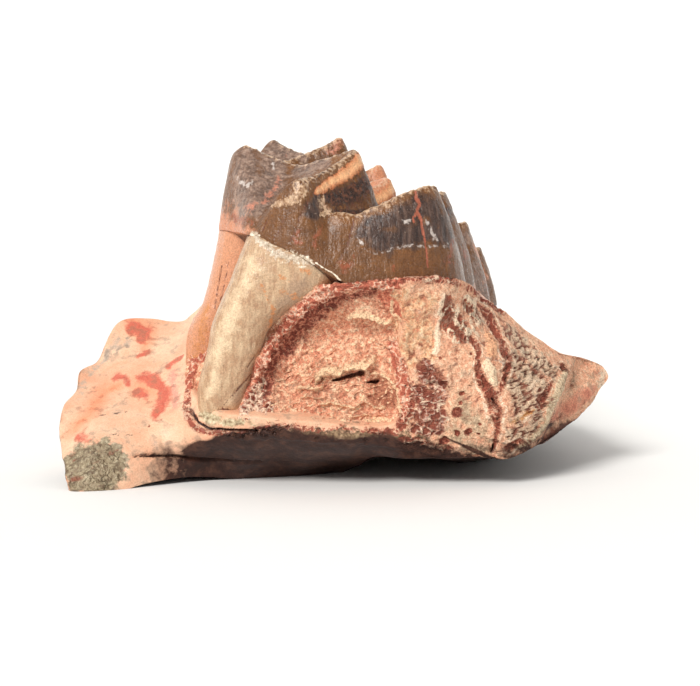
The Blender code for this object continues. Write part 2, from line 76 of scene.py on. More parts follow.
sweep_points = np.stack(np.broadcast_arrays(sweep_x[None, :], sweep_y[:, None], sweep_z[:, None]), axis=-1)
row_start = 2 * np.arange(len(sweep_y) - 1)[:, None]
floor_mesh = bpy.data.meshes.new("floor_sweep")
floor_mesh.from_pydata(sweep_points.reshape(-1, 3).tolist(), [], (row_start + [0, 1, 3, 2]).tolist())
floor_mesh.polygons.foreach_set("use_smooth", np.ones(len(floor_mesh.polygons), bool))
floor = bpy.data.objects.new("floor_sweep", floor_mesh)
floor_paint = bpy.data.materials.new("pale_floor")
floor_paint.use_nodes = True
floor_paint.node_tree.nodes["Principled BSDF"].inputs["Base Color"].default_value = (0.90, 0.90, 0.89, 1.0)
floor_paint.node_tree.nodes["Principled BSDF"].inputs["Roughness"].default_value = 0.95
floor_mesh.materials.append(floor_paint)
for studio_object in (camera, sun, floor):
    bpy.context.scene.collection.objects.link(studio_object)
bpy.context.scene.camera = camera
bpy.context.scene.world = world
bpy.context.scene.view_settings.view_transform = "Standard"

# The jaw bone: the mineralised upper jaw bone of a sheep-sized grazer, snapped off behind the last molar.
# Its outer side is smooth and cream with rust-red stains, the snapped side is spongy and full of pores,
# and red rock fills its cracks and clings to its lower edge.
FACE_RIM = np.array([
    (23.5, 14.0, 9.2), (21.7, 13.0, 10.0), (19.1, 10.0, 10.9), (16.3, 9.0, 12.7), (13.6, 8.0, 14.9),
    (11.6, 5.0, 16.3), (9.8, 1.4, 17.9), (7.2, -0.5, 18.3), (4.2, -0.9, 18.2), (-4.5, 9.0, 18.0),
    (-11.0, 14.0, 16.6), (-14.2, 14.0, 14.4), (-15.9, 16.0, 13.2), (-18.7, 16.0, 13.5), (-21.4, 15.0, 13.3),
    (-22.6, 13.0, 11.3), (-23.3, 12.0, 9.8), (-24.6, 10.0, 9.1), (-24.7, 8.0, 7.6), (-25.5, 6.0, 6.5),
    (-25.7, 4.0, 5.0), (-25.1, 1.0, 2.7), (-24.1, -2.0, -0.2), (-22.4, -2.2, -0.4), (-20.3, -1.4, -0.4),
    (-18.2, 0.0, 0.2), (-14.0, 3.0, 0.5), (-9.8, 5.0, 0.0), (-4.5, 7.0, -0.1), (0.0, 9.0, 0.2),
    (1.9, 3.0, 2.3), (4.4, 1.5, 2.4), (7.9, 1.0, 2.4), (11.3, 1.0, 2.6), (13.5, 1.0, 2.4), (15.9, 3.0, 3.0),
    (17.9, 6.0, 3.4), (20.5, 10.0, 4.7), (22.3, 12.0, 6.1), (23.1, 13.0, 7.1), (24.0, 14.0, 8.1)])
BEHIND_REAR_TOOTH = (20.0, np.array([
    (22.6, 8.2), (19.0, 9.8), (15.0, 12.5), (13.2, 14.6), (0.5, 19.4), (-9.0, 18.8), (-14.0, 13.0),
    (-18.2, 10.8), (-20.5, 8.3), (-21.3, 5.5), (-20.0, 2.2), (-17.0, 0.0), (-13.0, -0.4), (-8.0, -0.5),
    (-1.0, -0.5), (5.5, -0.5), (12.5, -0.4), (17.0, 1.8), (20.4, 4.4), (22.3, 6.4)]))
BEHIND_MIDDLE_TOOTH = (34.0, np.array([
    (21.0, 7.4), (18.6, 9.0), (16.4, 11.2), (14.2, 13.3), (4.6, 17.6), (-4.2, 17.6), (-8.6, 12.6),
    (-11.2, 9.8), (-12.8, 7.4), (-13.4, 5.0), (-12.8, 2.2), (-10.8, 0.2), (-7.5, -0.4), (-3.5, -0.5),
    (2.0, -0.5), (7.5, -0.5), (13.0, -0.4), (17.0, 1.8), (19.6, 4.0), (20.8, 5.8)]))
FRONT_BREAK = (48.0, np.array([
    (18.6, 6.6), (17.2, 8.2), (15.8, 10.2), (14.2, 12.2), (8.0, 14.8), (1.4, 14.8), (-3.0, 11.6), (-6.6, 9.2),
    (-8.2, 6.9), (-8.8, 4.8), (-8.3, 2.2), (-6.8, 0.2), (-4.6, -0.4), (-0.8, -0.4), (3.6, -0.4), (8.0, -0.4),
    (12.0, -0.2), (15.2, 1.8), (17.4, 4.0), (18.3, 5.5)]))
FACE_CENTRE = (-1.0, 8.5)
FRONT_CENTRE = (1.5, 46.9, 8.0)
TROUGH_MIDDLE = (6.0, 1.0)
TROUGH_HALF_WIDTH = 5.6
TROUGH_DEPTH = (2.2, 3.4)
FACE_DEPTHS = np.array([
    (-12.5, 3.7, 0.9), (-9.0, 3.6, 0.6), (-4.2, 3.5, 0.4), (0.0, 3.1, 0.6), (4.0, 3.6, 0.4),
    (6.4, 16.2, -0.5), (6.4, 14.2, 0.3), (8.6, 16.2, 0.3), (8.0, 12.0, 0.5), (6.5, 8.0, 0.6), (9.5, 6.0, 0.2),
    (12.0, 4.4, 0.3), (9.4, 14.4, 1.3), (10.8, 13.4, 1.9), (11.6, 9.6, 0.9), (13.4, 11.6, 2.6),
    (13.2, 7.0, 0.5), (14.3, 13.6, 6.4), (16.0, 10.6, 5.4), (16.6, 7.6, 3.6), (15.0, 5.0, 1.2),
    (17.6, 5.6, 4.2), (19.6, 8.0, 8.0), (21.6, 8.4, 11.5), (-15.2, 12.0, 12.2), (-15.0, 8.4, 6.0),
    (-14.8, 5.2, 2.0), (-18.2, 11.8, 13.4), (-18.2, 8.8, 8.6), (-18.4, 5.8, 4.0), (-18.0, 2.8, 0.8),
    (-21.8, 10.0, 11.4), (-22.4, 6.2, 5.2), (-22.2, 3.4, 0.2), (-24.0, 4.4, 3.0), (-23.0, 1.4, -1.6),
    (-20.6, 1.4, -0.9), (-12.0, 1.8, 3.4), (-6.0, 1.6, 4.2), (-16.0, 2.0, 1.8), (-5.0, 12.0, 1.5),
    (-1.0, 8.5, 1.5)])
ROCK_OUTLINE = np.array([
    (5.0, 10.4), (4.8, 13.2), (4.9, 15.6), (4.7, 17.9), (1.0, 18.0), (-3.6, 17.4), (-8.0, 17.0),
    (-12.4, 15.6), (-14.0, 13.2), (-14.7, 10.2), (-14.4, 7.8), (-12.6, 6.5), (-9.2, 6.0), (-5.6, 5.6),
    (-2.0, 5.3), (1.6, 5.1), (4.2, 5.4), (5.1, 7.4)])
ROCK_CENTRE = np.array([-4.0, 10.6])
SHELF_EDGE = np.array([
    (16.2, 2.4), (16.5, 3.2), (17.2, 4.0), (17.9, 5.0), (18.4, 6.5), (19.1, 7.9), (19.9, 9.1), (20.4, 10.2)])
SHELF_DROP = 2.4
ROCK_HOLLOW = 4.0
FACE_END = 0.5
SIDES_END = 0.85
LEANING = np.array([(0.80, 0.36, -0.48), (-0.60, 0.48, -0.64), (0.0, 0.80, 0.60)])
MIXERS = (73856093, 19349663, 83492791, 40503)


def cubic(before, here, after, beyond, part):
    """The Catmull-Rom cubic, which runs smoothly from here to after while part goes from 0 to 1."""
    return 0.5 * (2 * here + (after - before) * part
                  + (2 * before - 5 * here + 4 * after - beyond) * part ** 2
                  + (3 * here - before - 3 * after + beyond) * part ** 3)


def read_loop(points, turn):
    """Closed smooth curve through rows of points, read from turn 0 to 1."""
    count = len(points)
    step = (turn % 1.0) * count
    first = np.floor(step).astype(int)
    return cubic(*(points[(first + shift) % count] for shift in (-1, 0, 1, 2)), (step - first)[:, None])


def read_line(stations, way):
    """Open smooth curve through stations that each hold a row for every place, read from way 0 to 1."""
    last = len(stations) - 1
    step = np.clip(way, 0.0, 1.0) * last
    first = np.minimum(np.floor(step).astype(int), last - 1)
    rows = np.arange(len(way))
    return cubic(*(stations[np.clip(first + shift, 0, last), rows] for shift in (-1, 0, 1, 2)),
                 (step - first)[:, None])


def stretched_sheet(known):
    """Depth Y of the thin stiff sheet through all rows of X, Z, Y: weights times r2 log r plus a plane."""
    places = known[:, :2]

    def bend(spot):
        away = np.hypot(*(spot[:, None, :] - places[None, :, :]).transpose(2, 0, 1))
        return away ** 2 * np.log(away + 1e-9)

    plane = np.column_stack([np.ones(len(places)), places])
    system = np.block([[bend(places), plane], [plane.T, np.zeros((3, 3))]])
    weights = np.linalg.solve(system, np.concatenate([known[:, 2], np.zeros(3)]))
    return lambda spot: bend(spot) @ weights[:-3] + np.column_stack([np.ones(len(spot)), spot]) @ weights[-3:]


def ease(value, low, high):
    """Smooth step: 0 at low, 1 at high, 3t2 - 2t3 between them."""
    part = np.clip((value - low) / (high - low), 0.0, 1.0)
    return part * part * (3.0 - 2.0 * part)


def dice(cell, seed):
    """A number from -1 to 1 for each cell of whole numbers, mixed from its three counts and the seed."""
    mixed = cell[..., 0] * MIXERS[0] ^ cell[..., 1] * MIXERS[1] ^ cell[..., 2] * MIXERS[2] ^ seed * MIXERS[3]
    mixed = (mixed & 0x7FFFFFFF) * 1103515245 + 12345
    mixed = ((mixed ^ (mixed >> 15)) & 0x7FFFFFFF) * 69069 + 1
    return ((mixed ^ (mixed >> 13)) & 0xFFFFF) / 524287.5 - 1.0


def grain(places, size, seed, layers=3, stretch=(1.0, 1.0, 1.0)):
    """Smooth random field from -1 to 1: dice at the corners of leaning cubes, blended with 3t2 - 2t3;
    each further layer is half as coarse and half as strong."""
    total = np.zeros(len(places))
    spot = places / np.array(stretch) / size
    for layer in range(layers):
        spot = spot @ LEANING + 7.3
        cell = np.floor(spot).astype(np.int64)
        part = spot - cell
        part = part * part * (3.0 - 2.0 * part)
        for corner in range(8):
            offset = np.array([corner & 1, corner >> 1 & 1, corner >> 2])
            weight = np.prod(np.where(offset == 1, part, 1.0 - part), axis=1)
            total += weight * dice(cell + offset, seed + 31 * layer) * 0.5 ** layer
        spot = spot * 2.0
    return total / 1.4


def worms(places, size, seed, width, layers=2, stretch=(1.0, 1.0, 1.0)):
    """Curled threads, 1 on them and 0 off them: where a random field passes through nought."""
    return np.clip(1.0 - np.abs(grain(places, size, seed, layers, stretch)) / width, 0.0, 1.0)


def trail(places, points, flat=0.4):
    """How deep each place lies in a string of balls joined to one tube, rows of X, Y, Z, radius: 1 on its
    middle line, 0 at its skin, below 0 outside: 1 - distance / radius. flat shortens distances in Y."""
    points = np.array(points, float).reshape(-1, 4)
    deepest = np.full(len(places), -9.0)
    squash = np.array([1.0, flat, 1.0])
    for start, stop in zip(points, np.vstack([points[1:], points[-1:]])):
        run = (stop - start)[:3] * squash
        gap = (places - start[:3]) * squash
        along = np.clip(gap @ run / max(run @ run, 1e-9), 0.0, 1.0)
        away = np.linalg.norm(gap - along[:, None] * run, axis=1)
        deepest = np.maximum(deepest, 1.0 - away / (start[3] + along * (stop[3] - start[3])))
    return deepest


def trails(places, lines, flat=0.4):
    """The deepest of several trails."""
    return np.max([trail(places, line, flat) for line in lines], axis=0)


def strayed(places, seed, far, near):
    """Places moved a little at random, by far in steps of 1.2 mm and by near in steps of 0.35 mm, so that
    the edges of what is laid there run unevenly."""
    return places + np.column_stack([far * grain(places, 1.2, seed + axis, 2)
                                     + near * grain(places, 0.35, seed + 9 + axis, 2) for axis in range(3)])


def raised(rows):
    """Relief in millimetres, summed over rows of height, mark, low, high: height x ease(mark, low, high)."""
    return sum(height * ease(mark, low, high) for height, mark, low, high in rows)


def spread(falls, turns):
    """Turn and fall of every place of a closed grid, row by row."""
    return np.tile(np.arange(turns) / turns, len(falls)), np.repeat(falls, turns)


def outward(skin, turns):
    """Unit normals of a closed grid, its places in one list: the cross product of its two directions."""
    skin = skin.reshape(-1, turns, 3)
    around = np.roll(skin, -1, axis=1) - np.roll(skin, 1, axis=1)
    normal = np.cross(np.gradient(skin, axis=0), around)
    normal /= np.linalg.norm(normal, axis=2, keepdims=True) + 1e-9
    return (normal * np.sign(np.sum(normal * (skin - skin.mean(axis=(0, 1)))))).reshape(-1, 3)


def grid_mesh(skin, turns, marks):
    """Points, faces and marks of a closed grid; its first and last row each close in one point. Marks are
    held between -1 and 1."""
    skin = skin.reshape(-1, turns, 3)
    marks = {name: np.clip(mark, -1.0, 1.0).reshape(-1, turns) for name, mark in marks.items()}
    points = np.vstack([skin[:1].mean(axis=1), skin[1:-1].reshape(-1, 3), skin[-1:].mean(axis=1)])
    values = {name: np.concatenate([[mark[0].mean()], mark[1:-1].ravel(), [mark[-1].mean()]])
              for name, mark in marks.items()}
    here = 1 + np.arange(len(points) - 2).reshape(-1, turns)
    right = np.roll(here, -1, axis=1)
    quads = np.stack([here[:-1], here[1:], right[1:], right[:-1]], axis=-1).reshape(-1, 4)
    top = np.stack([np.zeros(turns, int), here[0], right[0], right[0]], axis=-1)
    base = np.stack([here[-1], np.full(turns, len(points) - 1), right[-1], right[-1]], axis=-1)
    faces = np.vstack([top, quads, base])
    a, b, c = points[faces[:, 0]], points[faces[:, 1]], points[faces[:, 2]]
    if np.sum(a * np.cross(b, c)) < 0.0:
        faces = faces[:, [2, 1, 0, 3]]
        faces[:turns, 3] = faces[:turns, 2]
        faces[-turns:, 3] = faces[-turns:, 2]
    return points, faces, values


def piece(name, parts, material, replaced):
    """One object of several closed grids, its places moved to the row frame, with its marks as attributes."""
    points, faces, start = [], [], 0
    for part in parts:
        points.append(part[0])
        faces.append(part[1] + start)
        start += len(part[0])
    points, faces = (np.vstack(points) - DRAWN_MIDDLE) * MM, np.vstack(faces)
    mesh = bpy.data.meshes.new(name)
    corners = [tuple(dict.fromkeys(face)) for face in faces.tolist()]
    mesh.from_pydata(points.tolist(), [], corners)
    mesh.polygons.foreach_set("use_smooth", np.ones(len(mesh.polygons), bool))
    for mark in parts[0][2]:
        values = np.concatenate([part[2][mark] for part in parts]).astype(np.float32)
        mesh.attributes.new(mark, "FLOAT", "POINT").data.foreach_set("value", values)
    mesh.materials.append(material)
    mesh.update()
    made = bpy.data.objects.new(name, mesh)
    bpy.context.scene.collection.objects.link(made)
    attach(made, "root")
    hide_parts(replaced)


def over_trough(skin):
    """Lifts what is below the underside: a parabola across the trough, flat beside it, where it rests."""
    along = np.clip(skin[:, 1] / FRONT_BREAK[0], 0.0, 1.0)
    middle = TROUGH_MIDDLE[0] + (TROUGH_MIDDLE[1] - TROUGH_MIDDLE[0]) * along
    depth = TROUGH_DEPTH[0] + (TROUGH_DEPTH[1] - TROUGH_DEPTH[0]) * along
    under = depth * np.maximum(1.0 - ((skin[:, 0] - middle) / TROUGH_HALF_WIDTH) ** 2, 0.0)
    return np.column_stack([skin[:, :2], np.maximum(skin[:, 2], under)])


rock_rim = read_loop(ROCK_OUTLINE, np.linspace(0.0, 1.0, 400, endpoint=False)) - ROCK_CENTRE
rock_angles = np.arctan2(rock_rim[:, 1], rock_rim[:, 0])
rock_order = np.argsort(rock_angles)
rock_angles, rock_radii = rock_angles[rock_order], np.hypot(*rock_rim.T)[rock_order]
face_depth = stretched_sheet(np.vstack([FACE_RIM[:, (0, 2, 1)], FACE_DEPTHS]))


def inside_rock(spot):
    """How far in millimetres each X, Z lies inside the rock's outline, measured towards its centre."""
    gap = spot - ROCK_CENTRE
    angle = np.arctan2(gap[:, 1], gap[:, 0])
    return np.interp(angle, rock_angles, rock_radii, period=math.tau) - np.hypot(gap[:, 0], gap[:, 1])


def jaw_surface(turn, fall):
    """Fall 0 to FACE_END: the snapped face from its middle to its rim, its depth from the stretched sheet;
    to SIDES_END: the sides, a smooth curve from the rim through the sections; to 1: the front break."""
    rim = read_loop(FACE_RIM, turn)
    reach = np.clip(fall / FACE_END, 0.0, 1.0)[:, None]
    spot = np.array(FACE_CENTRE) + (rim[:, (0, 2)] - FACE_CENTRE) * reach
    y = face_depth(spot) + (rim[:, 1] - face_depth(rim[:, (0, 2)])) * reach[:, 0] ** 4
    past_edge = spot[:, 0] - np.interp(spot[:, 1], SHELF_EDGE[:, 1], SHELF_EDGE[:, 0])
    step_down = ease(past_edge, 0.0, 0.6) * (1.0 - ease(past_edge, 0.8, 4.0)) * (1.0 - reach[:, 0] ** 6)
    y = y + SHELF_DROP * step_down + ROCK_HOLLOW * ease(inside_rock(spot), 0.4, 1.6)
    face = np.column_stack([spot[:, 0], y, spot[:, 1]])
    stations = [rim]
    for back, outline in (BEHIND_REAR_TOOTH, BEHIND_MIDDLE_TOOTH, FRONT_BREAK):
        ring = read_loop(outline, turn)
        stations.append(np.column_stack([ring[:, 0], np.full(len(turn), back), ring[:, 1]]))
    sides = over_trough(read_line(np.array(stations), (fall - FACE_END) / (SIDES_END - FACE_END)))
    close = np.clip((fall - SIDES_END) / (1.0 - SIDES_END), 0.0, 1.0)[:, None]
    end = over_trough(stations[-1])
    end += (np.array(FRONT_CENTRE) - end) * close
    end[:, 1] += 0.9 * np.sin(end[:, 0] * 0.8) * np.cos(end[:, 2] * 0.9) * close[:, 0]
    skin = np.where((fall < SIDES_END)[:, None], sides, end)
    return np.where((fall < FACE_END)[:, None], over_trough(face), skin)


PITS = (
    (10.3, 0.5, 4.7, 0.4), (9.3, 0.2, 4.7, 0.36), (11.4, 0.5, 4.6, 0.2), (11.3, 0.3, 5.5, 0.22),
    (9.3, 0.7, 6.5, 0.55), (9.7, 0.5, 8.2, 0.27), (9.6, 0.3, 7.3, 0.19), (8.1, 0.3, 4.0, 0.42),
    (10.6, 1.0, 11.6, 0.14), (7.9, 0.6, 11.2, 0.16), (-2.8, -0.3, 4.5, 0.26), (-0.9, -0.2, 4.4, 0.26),
    (0.2, 0.3, 4.1, 0.2), (1.3, 0.3, 4.2, 0.3), (3.0, 0.2, 4.1, 0.26), (10.2, 0.8, 12.8, 0.1),
    (9.0, 0.7, 10.4, 0.12), (10.9, 0.6, 7.0, 0.13), (11.9, 0.8, 3.9, 0.16), (8.6, 0.6, 8.6, 0.15),
    (-17.6, 2.8, 5.0, 0.18), (11.9, 0.9, 10.0, 0.14), (10.4, 0.7, 9.0, 0.12), (12.2, 0.6, 5.2, 0.14))
CLINGING_ROCK = (
    ((-12.9, 6.8, 14.4, 0.42), (-13.4, 6.9, 13.0, 0.5), (-13.9, 7.1, 11.3, 0.5), (-14.1, 6.2, 9.6, 0.46),
     (-14.3, 5.2, 8.0, 0.44), (-14.4, 3.0, 6.7, 0.42), (-14.0, 1.8, 5.6, 0.38), (-13.2, 1.1, 4.9, 0.33),
     (-11.8, 0.4, 4.6, 0.28), (-10.0, 0.0, 4.7, 0.26), (-7.8, -0.4, 4.8, 0.3), (-5.7, 0.1, 4.9, 0.33)),
    ((4.3, 0.0, 4.3, 0.33), (6.1, 0.1, 4.0, 0.43), (7.8, 0.4, 3.6, 0.35), (8.9, 0.6, 3.3, 0.26)),
    ((4.0, -0.6, 18.2, 0.5), (6.2, -0.4, 18.2, 0.5), (8.6, 0.9, 18.0, 0.5), (10.4, 3.4, 17.2, 0.45),
     (12.4, 6.4, 15.7, 0.45), (13.8, 8.2, 14.7, 0.3)),
    ((3.6, 1.2, 12.2, 0.5), (4.3, 1.0, 10.6, 0.6), (4.9, 0.8, 8.6, 0.7), (5.0, 0.4, 6.6, 0.7),
     (4.4, 0.2, 5.4, 0.5)),
    ((-8.0, -0.4, 5.25, 0.3), (-5.0, -0.3, 5.3, 0.36), (-2.0, 0.0, 5.2, 0.4), (1.0, 0.3, 5.15, 0.4),
     (4.0, 0.3, 5.0, 0.36)))
LEFT_MAROON = ((-12.7, 6.7, 14.1, 0.63), (-12.9, 6.7, 12.7, 0.72), (-13.3, 6.9, 11.0, 0.45))
RED_FILLS = (
    ((9.7, 1.2, 13.1, 0.26), (10.4, 1.6, 12.9, 0.31), (11.0, 1.6, 12.2, 0.28), (11.1, 1.4, 11.3, 0.24),
     (11.1, 1.2, 10.3, 0.39), (11.4, 1.2, 9.4, 0.52), (11.8, 1.2, 8.7, 0.57), (12.3, 0.8, 8.2, 0.44)),
    ((12.0, 0.7, 8.2, 0.44), (12.4, 0.5, 7.6, 0.57), (12.6, 0.5, 6.7, 0.61), (12.8, 0.3, 6.0, 0.44),
     (12.8, 0.6, 5.0, 0.3), (12.6, 0.6, 4.0, 0.22), (12.3, 0.6, 3.2, 0.16)),
    ((10.6, 4.6, 16.0, 0.35), (11.5, 5.3, 15.2, 0.44), (12.2, 5.3, 14.4, 0.49), (12.8, 4.8, 13.5, 0.42),
     (13.2, 4.0, 12.5, 0.35), (13.5, 3.2, 11.7, 0.44), (13.9, 2.8, 11.0, 0.44), (13.9, 2.5, 10.4, 0.35),
     (13.6, 2.0, 9.5, 0.31), (13.2, 1.2, 8.7, 0.28), (12.9, 1.4, 8.1, 0.35)),
    ((16.8, 3.8, 7.2, 0.38), (17.4, 4.8, 7.7, 0.38), (17.9, 6.0, 8.4, 0.27)),
    ((16.5, 3.4, 6.4, 0.3), (17.3, 4.2, 6.8, 0.27)),
    ((13.8, 1.2, 3.5, 0.44), (14.7, 1.3, 3.8, 0.35), (15.8, 2.7, 3.6, 0.26)),
    ((19.2, 9.0, 9.7, 0.34), (19.7, 8.8, 8.8, 0.22)))
NETS = (
    ((8.1, 1.6, 16.0, 0.26), (7.8, 0.8, 14.7, 0.3), (7.5, 0.6, 13.7, 0.29), (7.5, 0.5, 12.4, 0.43),
     (7.3, 0.6, 11.7, 0.35)), ((8.4, 1.4, 15.8, 0.17), (8.9, 1.3, 14.9, 0.17), (9.1, 1.1, 14.1, 0.17)),
    ((8.9, 1.8, 16.2, 0.17), (9.8, 2.5, 15.4, 0.19), (10.3, 2.5, 14.6, 0.18), (10.8, 2.2, 13.7, 0.18),
     (11.2, 2.1, 12.8, 0.14)), ((7.0, 1.4, 15.4, 0.17), (7.2, 0.8, 14.4, 0.17)))
SHAFT = ((13.5, 1.0, 8.2, 0.5), (13.9, 1.0, 7.0, 0.75), (14.0, 0.9, 5.9, 0.6))
FOLD = ((-16.9, 1.8, 3.8, 0.25), (-16.7, 1.5, 3.3, 0.25), (-16.5, 1.4, 2.8, 0.2))
CREASE = (
    (-18.8, 0.6, 2.7, 0.14), (-17.5, 1.1, 2.7, 0.2), (-15.3, 1.8, 2.4, 0.26), (-11.9, 3.2, 1.8, 0.28),
    (-8.0, 3.2, 1.8, 0.2))
DOTS = (
    ((-22.4, 4.5, 5.7, 0.09), (-21.4, 4.4, 5.9, 0.12), (-20.2, 4.5, 6.1, 0.09), (-19.0, 4.5, 6.2, 0.08)),
    ((-22.5, 1.9, 4.2, 0.08), (-20.4, 1.9, 4.4, 0.13), (-19.0, 2.0, 4.4, 0.13), (-18.1, 2.4, 4.6, 0.08)))
THIN_CRACKS = (
    ((13.1, 0.8, 5.8, 0.12), (12.8, 0.6, 4.8, 0.12), (12.5, 0.6, 4.0, 0.12), (12.3, 0.6, 3.0, 0.12)),
    ((13.1, 0.9, 6.6, 0.1), (13.7, 0.9, 6.0, 0.1), (14.4, 1.2, 5.2, 0.1), (15.6, 2.0, 4.9, 0.1)))
CRACK_HOLE = ((12.5, 0.6, 7.8, 0.17), (12.9, 1.0, 7.0, 0.26), (13.1, 0.9, 6.3, 0.24), (12.9, 0.4, 5.9, 0.14))
ROOT_CREVICES = (
    ((-14.7, 8.1, 7.5, 0.14), (-14.3, 5.3, 6.9, 0.18), (-13.8, 2.0, 6.2, 0.22), (-13.3, 1.3, 5.6, 0.17),
     (-12.4, 0.7, 5.15, 0.16), (-10.9, 0.1, 5.0, 0.15), (-9.3, -0.3, 5.05, 0.14),
     (-8.0, -0.4, 5.0, 0.12)),)
